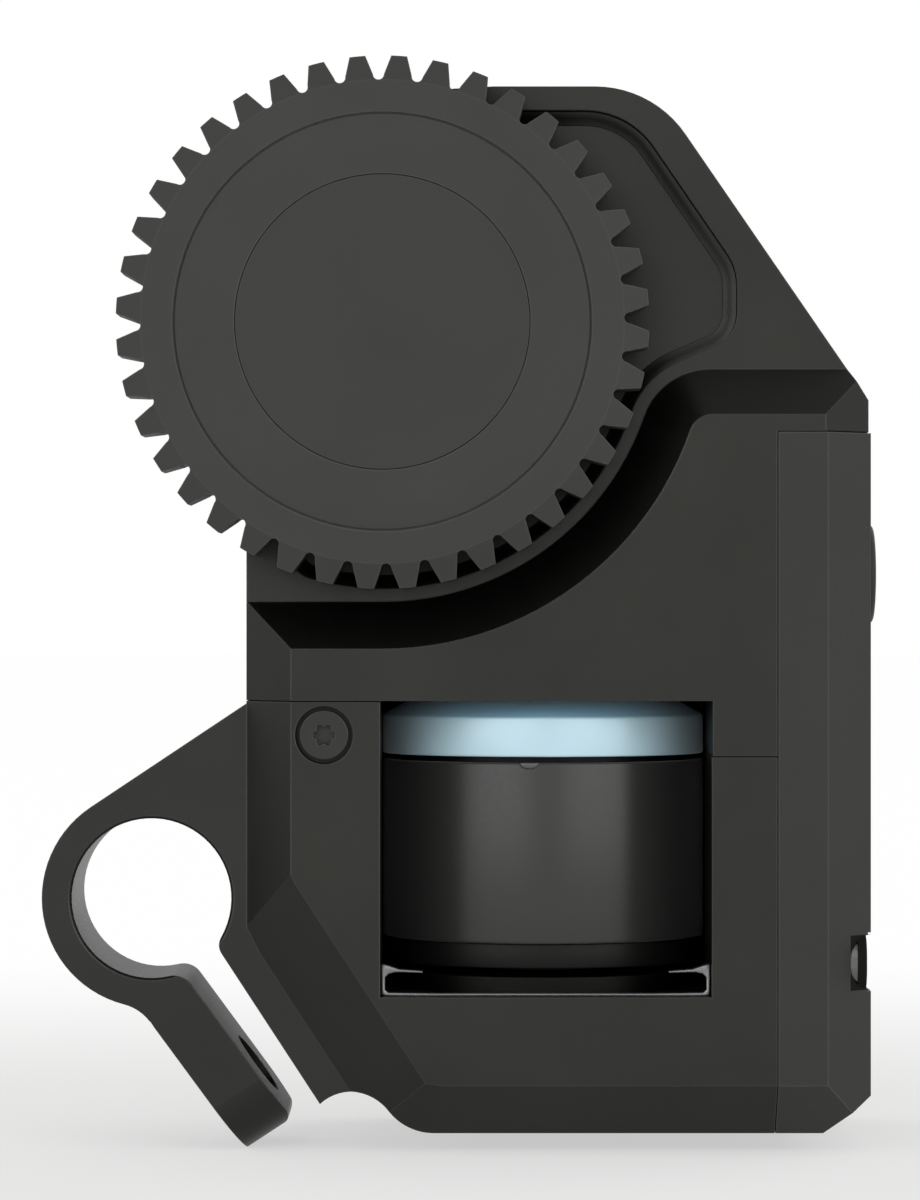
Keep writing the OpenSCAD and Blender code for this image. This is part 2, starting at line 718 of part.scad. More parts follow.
// Rear cover's outline, set in from the gearbox housing's back
rear_rim = 1.6;
rear_left = left_x + rear_rim;
rear_low = window_top + rear_rim;
rear_right = bay_x - rear_rim / 2;
rear_line = shoulder_out - 2 * rear_rim;
rear_a = [rear_left, rear_low];
rear_b = [rear_right, rear_low];
rear_c = crossing(0, rear_right, 90 - shoulder_tilt, rear_line);
rear_d = crossing(90 - shoulder_tilt, rear_line, 90, body_top - rear_rim);
rear_corner_r = 2;
rear_screw_in = 2.6;
rear_spots = [
    rear_a + [rear_screw_in, rear_screw_in],
    rear_b + [-rear_screw_in, rear_screw_in],
    rear_c + [-rear_screw_in, -rear_screw_in],
    rear_d + [-rear_screw_in, -1.4 * rear_screw_in]];
rear_screw_len = 6;
module rear_outline(gap) {
    union() {
        translate([gear_x, gear_z]) circle(boss_r - rear_rim + gap);
        difference() {
            polygon([
                rear_a + [-gap, -gap],
                rear_b + [gap, -gap],
                rear_c + [gap, gap],
                rear_d + [gap / 2, gap],
                top_start + [0, gap - rear_rim],
                run_in(top_start + [0, gap - rear_rim], boss_r - rear_rim + gap),
                [gear_x, gear_z],
                [rear_left - gap, gear_z - boss_r * cos(45)]]);
            corner_sliver([rear_left - gap, gear_z], rear_a + [-gap, -gap], rear_b + [gap, -gap], rear_corner_r);
            corner_sliver(rear_a + [-gap, -gap], rear_b + [gap, -gap], rear_c + [gap, gap], rear_corner_r);
            corner_sliver(rear_c + [gap, gap], rear_d + [gap / 2, gap], top_start + [0, gap - rear_rim],
                shoulder_r - 2 * rear_rim);
        }
    }
}

module gearbox_housing() {
    color("#393937") difference() {
        union() {
            difference() {
                intersection() {
                    body_form(right_x);
                    slab(face_y - over, back_y + over) above_seam(seam_gap);
                }
                at_gear() bar_y(chamber_r, wall_y, back_y + over);
                at_layshaft() bar_y(crown_chamber, wall_y, back_y + over);
            }
            at_gear() bar_y(out_bearing_r + seat_wall, floor_y, out_seat_end);
            at_layshaft() bar_y(lay_bearing_r + seat_wall / 2, floor_y, lay_seat_end);
            tongue(0);
        }
        slab(rear_y, back_y + over) rear_outline(seam_gap);
        at_gear() {
            bar_y(out_bearing_r, out_seat_y, out_seat_end + over);
            bar_y(out_bearing_r - seat_step * 2, floor_y - over, out_seat_y + over);
        }
        at_layshaft() bar_y(lay_bearing_r, wall_y, lay_seat_end + over);
        at_motor() {
            bar_z(motor_bore_r, 0, dome_top);
            bar_z(motor_bearing_r - seat_step, 0, top_seat_z);
            bar_z(motor_bearing_r, top_seat_z, pinion_floor + over);
            bar_z(pinion_pocket_r, pinion_floor, lay_z - lay_shaft_r);
        }
        bay();
        joint_holes();
        for (p = rear_spots) {
            translate([p[0], 0, p[1]]) bar_y(screw_r, rear_y - rear_screw_len, back_y);
        }
    }
}
module rear_cover() {
    color("#343432") difference() {
        union() {
            slab(rear_y, back_y) rear_outline(0);
            at_gear() bar_y(out_bearing_r + seat_wall, rear_y - out_bearing_w, rear_y + over);
            at_layshaft() bar_y(lay_bearing_r + seat_wall, rear_y - lay_bearing_w, rear_y + over);
        }
        at_gear() bar_y(out_bearing_r, rear_y - out_bearing_w - over, rear_y);
        at_layshaft() bar_y(lay_bearing_r, rear_y - lay_bearing_w - over, rear_y);
        for (p = rear_spots) {
            translate([p[0], 0, p[1]]) {
                bar_y(screw_r, rear_y - over, back_y);
                bar_y(screw_head_r + seam_gap, back_y - screw_head_h - screw_sink, back_y + over);
            }
        }
    }
}
module rear_cover_screws() {
    color("#2b2b2b") for (p = rear_spots) {
        translate([p[0], 0, p[1]]) screw_y(back_y - screw_sink, -1, rear_screw_len);
    }
}

// Clamp housing: the rod clamp, the motor's bore and the lower half of the bay
motor_floor = 2.2;
mount_t = 1.1;
motor_ring_r = 6.2;
motor_spots = [for (a = [90, 210, 330]) motor_ring_r * way(a)];
motor_head_r = 1.7;
motor_screw_len = motor_floor + screw_head_h + mount_t;
module clamp_housing() {
    color("#3b3b39") difference() {
        union() {
            intersection() {
                body_form(right_x);
                slab(face_y - over, back_y + over) below_seam();
            }
            clamp_block();
        }
        slab(face_y - over, back_y + over) hollow_outline();
        at_motor() {
            bar_z(motor_bore_r, -window_bottom, window_top + over);
            for (p = motor_spots) {
                translate([p[0], p[1], 0]) {
                    bar_z(screw_r, -window_bottom - motor_floor - over, 0);
                    bar_z(motor_head_r + seam_gap * 3, -body_bottom - over, -window_bottom - motor_floor);
                }
            }
        }
        translate([window_x, face_y - over, -window_bottom]) {
            cube([window_w, motor_y - face_y + over, window_top + window_bottom + over]);
        }
        bay();
        port_shape(port_w + 2 * board_gap, port_h + 2 * board_gap, port_r + board_gap,
            bay_x + board_t / 2, cover_x + over);
        tongue(tongue_gap);
        joint_holes();
        clamp_frame() translate([screw_s, 0, 0]) {
            bar_z(thread_r, slot_high - over, slot_high + clamp_thread_len);
        }
    }
}
tap_share = 0.825;
thread_r = clamp_screw_d / 2 * tap_share;
module housing_screws() {
    color("#2b2b2b") joint_screws();
}
module motor_screws() {
    color("#8e8f90") at_motor() for (p = motor_spots) {
        translate([p[0], p[1], -window_bottom - motor_floor - screw_head_h]) {
            screw(motor_head_r, screw_head_h, screw_r, motor_screw_len);
        }
    }
}

// Side cover with the button's hole and the port
cover_post_r = 2.3;
post_in = 1.6;
post_spots = [[bay_back - post_in, bay_high - post_in], [bay_back - post_in, bay_low + post_in]];
button_y = motor_y;
button_hole_r = button_d / 2 + run_play * 2;
port_w = 8.94;
port_h = 3.26;
port_lap = 0.5;
port_shift = 0.95;
port_y = bay_front + port_w / 2 - port_shift;
port_recess_w = port_w + port_lap;
port_recess_h = port_h + port_lap;
port_play = 0.12;
port_hole_w = port_w + 2 * port_play;
port_hole_h = port_h + 2 * port_play;
port_recess_d = 0.2;
port_recess_r = 0.9;
port_r = 1.3;
module port_shape(w, h, r, x0, x1) {
    translate([x0, port_y, port_z]) rotate([90, 0, 90]) linear_extrude(x1 - x0) {
        rounded([[-w / 2, -h / 2], [w / 2, -h / 2], [w / 2, h / 2], [-w / 2, h / 2]], [r, r, r, r]);
    }
}
cover_in_x = side_x - cover_wall;
module side_cover() {
    wedge = cover_wall * (sqrt(2) - 1);
    color("#42433f") difference() {
        union() {
            difference() {
                intersection() {
                    body_form(side_x);
                    translate([cover_x + seam_gap, face_y - over, -reach]) {
                        cube([reach, back_y - face_y + 2 * over, reach + cover_top]);
                    }
                }
                translate([0, 0, bay_low]) linear_extrude(bay_high - bay_low) polygon([
                    [cover_x - over, face_y + cover_wall],
                    [side_x - side_bevel - wedge, face_y + cover_wall],
                    [cover_in_x, base_y + wedge],
                    [cover_in_x, bay_back],
                    [cover_x - over, bay_back]]);
            }
            for (p = post_spots) {
                translate([0, p[0], p[1]]) bar_x(cover_post_r, cover_x, cover_in_x + over);
            }
        }
        translate([0, button_y, button_z]) bar_x(button_hole_r, cover_in_x - over, side_x + over);
        port_shape(port_recess_w, port_recess_h, port_recess_r, side_x - port_recess_d, side_x + over);
        port_shape(port_hole_w, port_hole_h, port_r + port_play, cover_x, side_x + over);
        for (p = post_spots) {
            translate([0, p[0], p[1]]) {
                bar_x(screw_r, cover_x, side_x);
                bar_x(screw_head_r + seam_gap, side_x - screw_head_h - screw_sink, side_x + over);
            }
        }
    }
}
side_screw_len = 9.5;
module side_cover_screws() {
    color("#2b2b2b") for (p = post_spots) {
        translate([side_x - screw_sink, p[0], p[1]]) rotate([0, -90, 0]) {
            screw(screw_head_r, screw_head_h, screw_r, side_screw_len);
        }
    }
}

// Drive gear and its cap
gear_back = base_y - gear_gap;
gear_front = gear_back - gear_t;
gear_root = gear_module * (gear_teeth / 2 - 1);
gear_phase = 5.4;
gear_chamfer = 0.8;
groove_w = 0.16;
dish_w = 1.4;
dish_d = 0.12;
cap_gap = 0.05;
gear_hub_r = 4.2;
shaft_flat_share = 0.7;
gear_head_r = 3.4;
gear_head_h = 1;
module shaft_section() {
    difference() {
        circle(out_shaft_r);
        translate([out_shaft_r * shaft_flat_share, -out_shaft_r]) square(2 * out_shaft_r);
    }
}
// Straight-sided teeth with rounded gaps, whose sides just cross the rounding
module lens_gear_outline() {
    short = gear_foot_r - cross_lap;
    foot = [gear_root + gear_foot_r - short * sin(gear_flank_a), short * cos(gear_flank_a)];
    mouth = [tip_r + over, foot[1] + (tip_r + over - foot[0]) * tan(gear_flank_a)];
    difference() {
        circle(tip_r);
        for (i = [0 : gear_teeth - 1]) {
            rotate((i + 1 / 2) * 360 / gear_teeth) {
                translate([gear_root + gear_foot_r, 0]) circle(gear_foot_r);
                polygon([[foot[0], -foot[1]], [mouth[0], -mouth[1]], mouth, foot]);
            }
        }
    }
}
module drive_gear() {
    color("#3b3b39") at_gear() difference() {
        union() {
            slab(gear_front, gear_back) rotate(gear_phase) lens_gear_outline();
            bar_y(gear_hub_r, gear_back - over, floor_y - seat_step / 3);
        }
        turned([
            [gear_root, gear_front - over],
            [tip_r + over, gear_front - over],
            [tip_r + over, gear_front + gear_chamfer * (tip_r + over - gear_root) / (tip_r - gear_root)],
            [gear_root, gear_front]]);
        turned([
            [groove_r - dish_w, gear_front - over],
            [groove_r + groove_w, gear_front - over],
            [groove_r + groove_w, gear_front + dish_d * 2],
            [groove_r, gear_front + dish_d * 2],
            [groove_r, gear_front + dish_d],
            [groove_r - dish_w, gear_front]]);
        bar_y(cap_r + cap_gap, gear_front - over, gear_front + cap_t);
        bar_y(gear_head_r + cap_gap, gear_front, gear_front + cap_t + gear_head_h + cap_gap);
        slab(gear_front, floor_y) shaft_section();
    }
}
module gear_cap() {
    color("#3a3a38") at_gear() bar_y(cap_r, gear_front, gear_front + cap_t);
}
shaft_front = gear_front + cap_t + gear_head_h + cap_gap;
module gear_screw() {
    color("#8e8f90") at_gear() translate([0, gear_front + cap_t + cap_gap, 0]) rotate([-90, 0, 0]) {
        screw(gear_head_r, gear_head_h, screw_r, gear_t);
    }
}
shoulder_h = 0.8;
module output_shaft() {
    color("#b9babb") at_gear() difference() {
        union() {
            slab(shaft_front, floor_y) shaft_section();
            bar_y(out_shaft_r, floor_y, rear_y - seam_gap);
            bar_y(out_shaft_r + shoulder_h, wheel_y + wheel_t, rear_y - out_bearing_w - seat_step / 2);
        }
        bar_y(screw_r, shaft_front - over, gear_front + cap_t + cap_gap + gear_t);
        turned([
            [out_shaft_r - ring_groove, wheel_y - ring_t],
            [out_shaft_r + over, wheel_y - ring_t],
            [out_shaft_r + over, wheel_y],
            [out_shaft_r - ring_groove, wheel_y]]);
    }
}
ring_t = 0.4;
ring_groove = 0.4;
ring_lap = 1.1;
ring_mouth = 3;
module retaining_ring() {
    color("#77787a") at_gear() slab(wheel_y - ring_t, wheel_y) difference() {
        circle(out_shaft_r + ring_lap);
        circle(out_shaft_r - ring_groove);
        rotate(lay_a + 180) translate([0, -ring_mouth / 2]) square([out_shaft_r * 2, ring_mouth]);
    }
}
wheel_hub_r = 4.6;
wheel_web_r = 8.7;
wheel_web = 1;
wheel_holes = 6;
module output_wheel() {
    color("#c2a45a") at_gear() difference() {
        slab(wheel_y, wheel_y + wheel_t) rotate(lay_a + 180 / wheel_teeth) {
            gear_outline(wheel_teeth, spur_module, train_tooth_shares, tooth_play);
        }
        bar_y(out_shaft_r, wheel_y - over, wheel_y + wheel_t + over);
        for (y = [wheel_y - over, wheel_y + wheel_t - wheel_web]) {
            difference() {
                bar_y(wheel_web_r, y, y + over + wheel_web);
                bar_y(wheel_hub_r, y - over, y + 2 * over + wheel_web);
            }
        }
        for (i = [0 : wheel_holes - 1]) {
            rotate([0, i * 360 / wheel_holes, 0]) translate([(wheel_hub_r + wheel_web_r) / 2, 0, 0]) {
                bar_y((wheel_web_r - wheel_hub_r) / 3, wheel_y - over, wheel_y + wheel_t + over);
            }
        }
    }
}
module output_bearings() {
    color("#a9aaab") at_gear() {
        bearing_y(out_shaft_r + run_play, out_bearing_r, out_seat_y, out_bearing_w);
        bearing_y(out_shaft_r + run_play, out_bearing_r, rear_y - out_bearing_w, out_bearing_w);
    }
}

// Layshaft: the small pinion turns the output wheel, the crown wheel takes the motor's turning
lay_pinion_y = lay_seat_end + seat_step / 3;
lay_pinion_t = wheel_y + wheel_t + seat_step / 2 - lay_pinion_y;
lay_sleeve = 0.7;
module layshaft() {
    color("#b9babb") at_layshaft() {
        bar_y(lay_shaft_r, wall_y + seam_gap, rear_y - seam_gap);
        bar_y(lay_shaft_r + lay_sleeve, lay_pinion_y + lay_pinion_t, crown_y + crown_root);
        bar_y(lay_shaft_r + lay_sleeve, crown_back, rear_y - lay_bearing_w - seat_step / 3);
    }
}
module layshaft_pinion() {
    color("#b08d48") at_layshaft() slab(lay_pinion_y, lay_pinion_y + lay_pinion_t) difference() {
        rotate(lay_a + 180) gear_outline(lay_teeth, spur_module, train_tooth_shares, tooth_play);
        circle(lay_shaft_r);
    }
}
crown_back = crown_y + crown_root + crown_t;
module crown_wheel() {
    half = crown_tooth_w / 2;
    slope = tan(pressure_a);
    color("#c2a45a") at_layshaft() {
        difference() {
            bar_y(crown_r, crown_y + crown_root, crown_back);
            bar_y(lay_shaft_r, crown_y, crown_back + over);
        }
        for (i = [0 : crown_teeth - 1]) {
            rotate([0, (i + 1 / 2) * 360 / crown_teeth, 0]) {
                translate([0, 0, -crown_mean - crown_face / 2]) linear_extrude(crown_face) polygon([
                    [-half + crown_rise * slope, crown_y - crown_rise],
                    [half - crown_rise * slope, crown_y - crown_rise],
                    [half + 2 * crown_root * slope, crown_y + 2 * crown_root],
                    [-half - 2 * crown_root * slope, crown_y + 2 * crown_root]]);
            }
        }
    }
}
module layshaft_bearings() {
    color("#a9aaab") at_layshaft() {
        bearing_y(lay_shaft_r + run_play, lay_bearing_r, wall_y, lay_bearing_w);
        bearing_y(lay_shaft_r + run_play, lay_bearing_r, rear_y - lay_bearing_w, lay_bearing_w);
    }
}

// Motor: a wound stator on the mount's tube, inside a rotor that turns with the shaft
mount_top = -window_bottom + mount_t;
tube_r = 3.8;
tube_gap = 1;
tube_top = ring_z - tube_gap;
stator_r = 8.85;
air_gap = 0.25;
can_wall = 0.55;
can_in = rotor_r - can_wall;
core_rise = 3.3;
core_drop = 1.7;
core_low = mount_top + core_rise;
core_high = tube_top - core_drop;
stator_teeth = 9;
magnet_count = 14;
back_iron = 1.3;
stem_w = 1.8;
shoe_t = 1;
slot_gap = 0.9;
module motor_mount() {
    color("#9a9b9c") at_motor() difference() {
        union() {
            bar_z(motor_bore_r - rotor_gap * 2, -window_bottom, mount_top);
            bar_z(tube_r, -window_bottom, tube_top);
        }
        bar_z(motor_bearing_r - seat_step, -window_bottom - over, tube_top + over);
        bar_z(motor_bearing_r, -window_bottom - over, -window_bottom + motor_bearing_w);
        bar_z(motor_bearing_r, tube_top - motor_bearing_w, tube_top + over);
        for (p = motor_spots) {
            translate([p[0], p[1], 0]) bar_z(screw_r, -window_bottom - over, mount_top + over);
        }
    }
}
module motor_bearings() {
    color("#a9aaab") at_motor() {
        for (z = [-window_bottom, tube_top - motor_bearing_w, top_seat_z]) {
            translate([0, 0, z]) ball_bearing(motor_shaft_r + run_play, motor_bearing_r, motor_bearing_w);
        }
    }
}
module stator_core() {
    color("#5b5c5e") at_motor() translate([0, 0, core_low]) linear_extrude(core_high - core_low) difference() {
        union() {
            circle(tube_r + back_iron);
            for (i = [0 : stator_teeth - 1]) {
                rotate(i * 360 / stator_teeth) translate([0, -stem_w / 2]) square([stator_r - shoe_t / 2, stem_w]);
            }
            difference() {
                circle(stator_r);
                circle(stator_r - shoe_t);
            }
        }
        circle(tube_r);
        for (i = [0 : stator_teeth - 1]) {
            rotate((i + 1 / 2) * 360 / stator_teeth) translate([stator_r - 2 * shoe_t, -slot_gap / 2]) {
                square([3 * shoe_t, slot_gap]);
            }
        }
    }
}
coil_w = 0.75;
coil_in_share = 0.12;
coil_share = 0.8;
module stator_windings() {
    run = stator_r - shoe_t - tube_r - back_iron;
    color("#b5651d") at_motor() for (i = [0 : stator_teeth - 1]) {
        rotate(i * 360 / stator_teeth) translate([tube_r + back_iron + run * coil_in_share, 0, 0]) difference() {
            translate([0, -stem_w / 2 - coil_w, core_low - coil_w]) {
                cube([run * coil_share, stem_w + 2 * coil_w, core_high - core_low + 2 * coil_w]);
            }
            translate([-over, -stem_w / 2, core_low]) cube([run + 2 * over, stem_w, core_high - core_low]);
        }
    }
}
module rotor_can() {
    can_low = ring_z - can_h;
    color("#3a3a38") at_motor() difference() {
        union() {
            bar_z(rotor_r, can_low, ring_z);
            bar_z(rotor_r - rotor_gap, can_low - rim_h, can_low + over);
        }
        bar_z(can_in, can_low - rim_h - over, ring_z + over);
    }
}
bell_hub_r = 3.4;
bell_t = 1.2;
module rotor_ring() {
    ring_top = ring_z + ring_h;
    bell_top = ring_top + cone_h;
    color("#a9d3e6") at_motor() rotate_extrude() polygon([
        [rotor_r, ring_z],
        [rotor_r, ring_top],
        [bell_hub_r, bell_top],
        [motor_shaft_r, bell_top],
        [motor_shaft_r, ring_z],
        [bell_hub_r, ring_z],
        [bell_hub_r, bell_top - bell_t],
        [can_in, ring_top - bell_t],
        [can_in, ring_z]]);
}
module rotor_magnets() {
    color("#7d7f82") at_motor() translate([0, 0, core_low]) linear_extrude(core_high - core_low) difference() {
        circle(can_in);
        circle(stator_r + air_gap);
        for (i = [0 : magnet_count - 1]) {
            rotate(i * 360 / magnet_count) translate([stator_r - shoe_t, -air_gap / 2]) {
                square([4 * shoe_t, air_gap]);
            }
        }
    }
}
pinion_low = pinion_floor + seat_step / 3;
pinion_top = lay_z - crown_mean + crown_face / 2 + seat_step;
module motor_shaft() {
    color("#b9babb") at_motor() bar_z(motor_shaft_r, -window_bottom + seam_gap, pinion_top);
}
module motor_pinion() {
    mesh_low = lay_z - crown_mean - crown_face / 2 - seat_step;
    color("#b08d48") at_motor() difference() {
        union() {
            bar_z(motor_shaft_r + coil_w, pinion_low, mesh_low + over);
            translate([0, 0, mesh_low]) linear_extrude(pinion_top - mesh_low) rotate(90) {
                gear_outline(motor_teeth, spur_module, train_tooth_shares, tooth_play);
            }
        }
        bar_z(motor_shaft_r, pinion_low - over, pinion_top + over);
    }
}

// Electronics: the board with its port and switch
board_t = 1.2;
board_x = bay_x + board_t;
board_gap = 0.4;
chip_h = 1;
// Middle and size of each chip, as shares of the board's width and length
chip_spots = [[0.3, 0.62, 0.36, 0.16], [0.72, 0.36, 0.26, 0.13], [0.3, 0.42, 0.3, 0.12]];
module circuit_board() {
    board_w = bay_back - bay_front - 2 * board_gap;
    board_l = bay_high - bay_low - 2 * board_gap;
    color("#1f4a33") difference() {
        union() {
            translate([bay_x, bay_front + board_gap, bay_low + board_gap]) cube([board_t, board_w, board_l]);
            for (s = chip_spots) {
                translate([board_x - over / 2, bay_front + board_gap + (s[0] - s[2] / 2) * board_w,
                        bay_low + board_gap + (s[1] - s[3] / 2) * board_l]) {
                    cube([chip_h + over / 2, s[2] * board_w, s[3] * board_l]);
                }
            }
        }
        for (p = post_spots) {
            translate([0, p[0], p[1]]) bar_x(cover_post_r + board_gap, bay_x - over, reach);
        }
    }
}
socket_wall = 0.3;
socket_base = 1;
socket_sink = 0.2;
socket_tongue_share = 0.74;
socket_front = side_x - port_recess_d - socket_sink;
module usb_socket() {
    tongue_wide = port_w * socket_tongue_share;
    color("#b4b6b8") difference() {
        port_shape(port_w, port_h, port_r, board_x, socket_front);
        difference() {
            port_shape(port_w - 2 * socket_wall, port_h - 2 * socket_wall, port_r - socket_wall,
                board_x + socket_base, socket_front + over);
            translate([board_x, port_y - tongue_wide / 2, port_z - socket_wall]) {
                cube([socket_front - board_x - socket_base, tongue_wide, 2 * socket_wall]);
            }
        }
    }
}
switch_w = 6;
switch_h = 3.2;
plunger_r = 1.5;
plunger_base = 0.9;
plunger_rise = 0.8;
plunger_low = board_x + plunger_base;
plunger_top = board_x + switch_h + plunger_rise;
module push_switch() {
    color("#5a5c5f") difference() {
        translate([board_x, button_y - switch_w / 2, button_z - switch_w / 2]) cube([switch_h, switch_w, switch_w]);
        translate([0, button_y, button_z]) {
            bar_x(plunger_r + run_play * 2, plunger_low - button_travel - run_play * 2, reach);
        }
    }
}
module switch_plunger() {
    color("#1e1e1e") translate([0, button_y, button_z]) bar_x(plunger_r, plunger_low, plunger_top);
}
button_flange = 0.8;
button_edge_r = 0.4;
button_edge_steps = 6;
module side_button() {
    flange_x = cover_in_x - seam_gap - button_flange;
    button_r = button_d / 2;
    color("#3f403d") translate([0, button_y, button_z]) rotate([0, 90, 0]) rotate_extrude() polygon(concat(
        [
            [0, plunger_top],
            [plunger_r, plunger_top],
            [plunger_r, flange_x],
            [button_r + button_flange, flange_x],
            [button_r + button_flange, flange_x + button_flange],
            [button_r, flange_x + button_flange]],
        [for (i = [0 : button_edge_steps])
            [button_r - button_edge_r, side_x + button_proud - button_edge_r]
                + button_edge_r * way(90 * i / button_edge_steps)],
        [[0, side_x + button_proud]]));
}

gearbox_housing();
clamp_housing();
side_cover();
rear_cover();
drive_gear();
gear_cap();
gear_screw();
output_shaft();
output_wheel();
output_bearings();
layshaft();
layshaft_pinion();
crown_wheel();
layshaft_bearings();
motor_mount();
motor_bearings();
stator_core();
stator_windings();
rotor_can();
rotor_ring();
rotor_magnets();
motor_shaft();
motor_pinion();
motor_screws();
housing_screws();
rear_cover_screws();
side_cover_screws();
circuit_board();
usb_socket();
push_switch();
switch_plunger();
side_button();
retaining_ring();
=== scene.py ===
import math

import bmesh
import bpy
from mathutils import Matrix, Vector


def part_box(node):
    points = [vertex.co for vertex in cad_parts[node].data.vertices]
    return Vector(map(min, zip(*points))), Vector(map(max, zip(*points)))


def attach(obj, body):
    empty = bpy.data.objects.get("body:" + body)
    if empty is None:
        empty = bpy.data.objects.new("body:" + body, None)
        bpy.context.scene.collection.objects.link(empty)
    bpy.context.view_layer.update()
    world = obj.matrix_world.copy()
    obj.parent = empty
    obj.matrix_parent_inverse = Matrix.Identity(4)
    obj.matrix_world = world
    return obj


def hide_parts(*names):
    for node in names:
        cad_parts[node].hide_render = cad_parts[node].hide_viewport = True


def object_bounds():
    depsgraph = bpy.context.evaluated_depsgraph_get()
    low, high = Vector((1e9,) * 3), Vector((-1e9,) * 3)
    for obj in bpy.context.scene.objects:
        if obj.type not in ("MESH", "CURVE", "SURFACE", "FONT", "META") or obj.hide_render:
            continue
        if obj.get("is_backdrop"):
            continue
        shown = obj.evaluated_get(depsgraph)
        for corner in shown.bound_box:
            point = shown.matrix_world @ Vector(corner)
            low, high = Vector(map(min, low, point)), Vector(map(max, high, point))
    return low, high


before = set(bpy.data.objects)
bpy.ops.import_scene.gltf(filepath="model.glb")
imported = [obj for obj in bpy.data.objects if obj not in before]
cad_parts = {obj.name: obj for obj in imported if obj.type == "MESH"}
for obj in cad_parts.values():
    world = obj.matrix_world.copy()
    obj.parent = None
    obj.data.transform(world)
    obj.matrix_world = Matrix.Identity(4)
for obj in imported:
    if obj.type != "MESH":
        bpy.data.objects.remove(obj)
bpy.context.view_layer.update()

# The looks of a follow focus unit: finishes for its CAD nodes, and the pieces that its solids leave out.
# Lengths are written in millimetres and turned to metres by MM.
MM = 0.001

bl_info = {
    "name": "Follow focus unit",
    "version": (1, 0, 0),
    "blender": (4, 5, 0),
    "location": "3D View > Sidebar > Focus",
    "description": "Finishes and small pieces of a motorised follow focus unit",
    "category": "Object",
}

# The motor's vertical axis in X and Y, the drive gear's axis in X and Z, and the port's middle in Y and Z
MOTOR = (25.15, 3.6)
GEAR = (14.83, 36.54)
PORT = (-2.43, -4.05)

# Vertices nearer than this, in metres, are the same one
WELD = 1e-7


def linear(hex_colour):
    """An sRGB hex colour as linear RGB."""
    parts = [int(hex_colour[i : i + 2], 16) / 255 for i in (1, 3, 5)]
    return [c / 12.92 if c <= 0.04045 else ((c + 0.055) / 1.055) ** 2.4 for c in parts]


def rgba(colour):
    """A colour property as a socket's value."""
    return (*colour, 1.0)


def colour_property(name, description, hex_colour):
    """A colour that a user may change."""
    return bpy.props.FloatVectorProperty(
        name=name, description=description, subtype="COLOR", size=3, min=0, max=1, default=linear(hex_colour)
    )


def length_property(name, description, millimetres):
    """A length that a user may change."""
    return bpy.props.FloatProperty(
        name=name, description=description, subtype="DISTANCE", unit="LENGTH", min=0, default=millimetres * MM
    )


def power_property(name, description, watts):
    """A lamp's power that a user may change."""
    return bpy.props.FloatProperty(
        name=name, description=description, subtype="POWER", unit="POWER", min=0, default=watts
    )


class FocusFinish(bpy.types.PropertyGroup):
    """Colours and surface sizes of the unit."""

    housing: colour_property("Housing", "Colour of the anodised housings", "#353533")
    rear: colour_property("Rear cover", "Colour of the anodised rear cover", "#343432")
    cover: colour_property("Side cover", "Colour of the moulded side cover", "#333331")
    gear: colour_property("Gear", "Colour of the moulded drive gear", "#3d3d3b")
    cap: colour_property("Gear cap", "Colour of the gear's centre cap", "#3a3a38")
    can: colour_property("Rotor can", "Colour of the satin rotor can", "#323231")
    rim: colour_property("Rotor rim", "Colour of the rotor's lower rim", "#181817")
    # The ring's pale blue and the cone's deeper blue are lit and shaded copies of one anodising: painted
    # light and painted shade
    ring: colour_property("Rotor ring", "Colour of the light blue ring", "#cdeefb")
    cone: colour_property("Rotor cone", "Colour of the light blue ring's upper cone", "#9fe0ff")
    mount: colour_property("Mount", "Colour of the motor's black base", "#1d1d1c")
    edge_round: length_property("Edge rounding", "Radius at which a machined edge catches light", 0.14)
    grit: length_property("Grit", "Spacing of the blasted surface's grain", 0.16)


class FocusPieces(bpy.types.PropertyGroup):
    """Sizes of the pieces that are added to the CAD nodes."""

    can_gap: length_property("Can gap", "Height of the dark gap under the blue ring", 0.38)
    rotor_round: length_property("Rotor rounding", "Rounding of the rotor's turned edges", 0.12)
    slope_width: length_property("Pocket slope", "Width of the slope inside the gear pocket's wall", 0.86)
    contact_width: length_property("Contact width", "Width of one contact on the port's tongue", 0.25)
    bracket_depth: length_property("Bracket depth", "Depth of the silver bracket in the motor window", 1.1)
    tab_width: length_property("Ring tab", "Width of the tab that seats the blue ring on the can", 1.3)


class FocusStudio(bpy.types.PropertyGroup):
    """Camera, lamps and background."""

    lens: bpy.props.FloatProperty(
        name="Lens",
        description="Focal length of the camera",
        subtype="DISTANCE_CAMERA",
        min=10,
        default=152.4,
    )
    distance: length_property("Distance", "Distance from the clamp's middle to the camera", 330)
    front_power: power_property("Front lamps", "Power of the left front softbox", 1.35)
    back_power: power_property("Back lamps", "Power of each rear softbox", 0.8)
    fill: bpy.props.FloatProperty(
        name="Fill",
        description="Brightness of the room's even light",
        subtype="FACTOR",
        min=0,
        max=1,
        default=0.5,
    )
    floor: colour_property("Floor", "Colour of the pale floor", "#f0f0ee")


def put(tree, kind, sockets=(), **settings):
    """Adds a node with its settings, and sets or links its inputs."""
    node = tree.nodes.new(kind)
    for name, value in settings.items():
        setattr(node, name, value)
    for key, value in dict(sockets).items():
        if isinstance(value, bpy.types.NodeSocket):
            tree.links.new(value, node.inputs[key])
        else:
            node.inputs[key].default_value = value
    return node


def blank(name):
    """A new material with an empty tree and its output."""
    material = bpy.data.materials.new(name)
    material.use_nodes = True
    material.node_tree.nodes.clear()
    return material, material.node_tree, material.node_tree.nodes.new("ShaderNodeOutputMaterial")


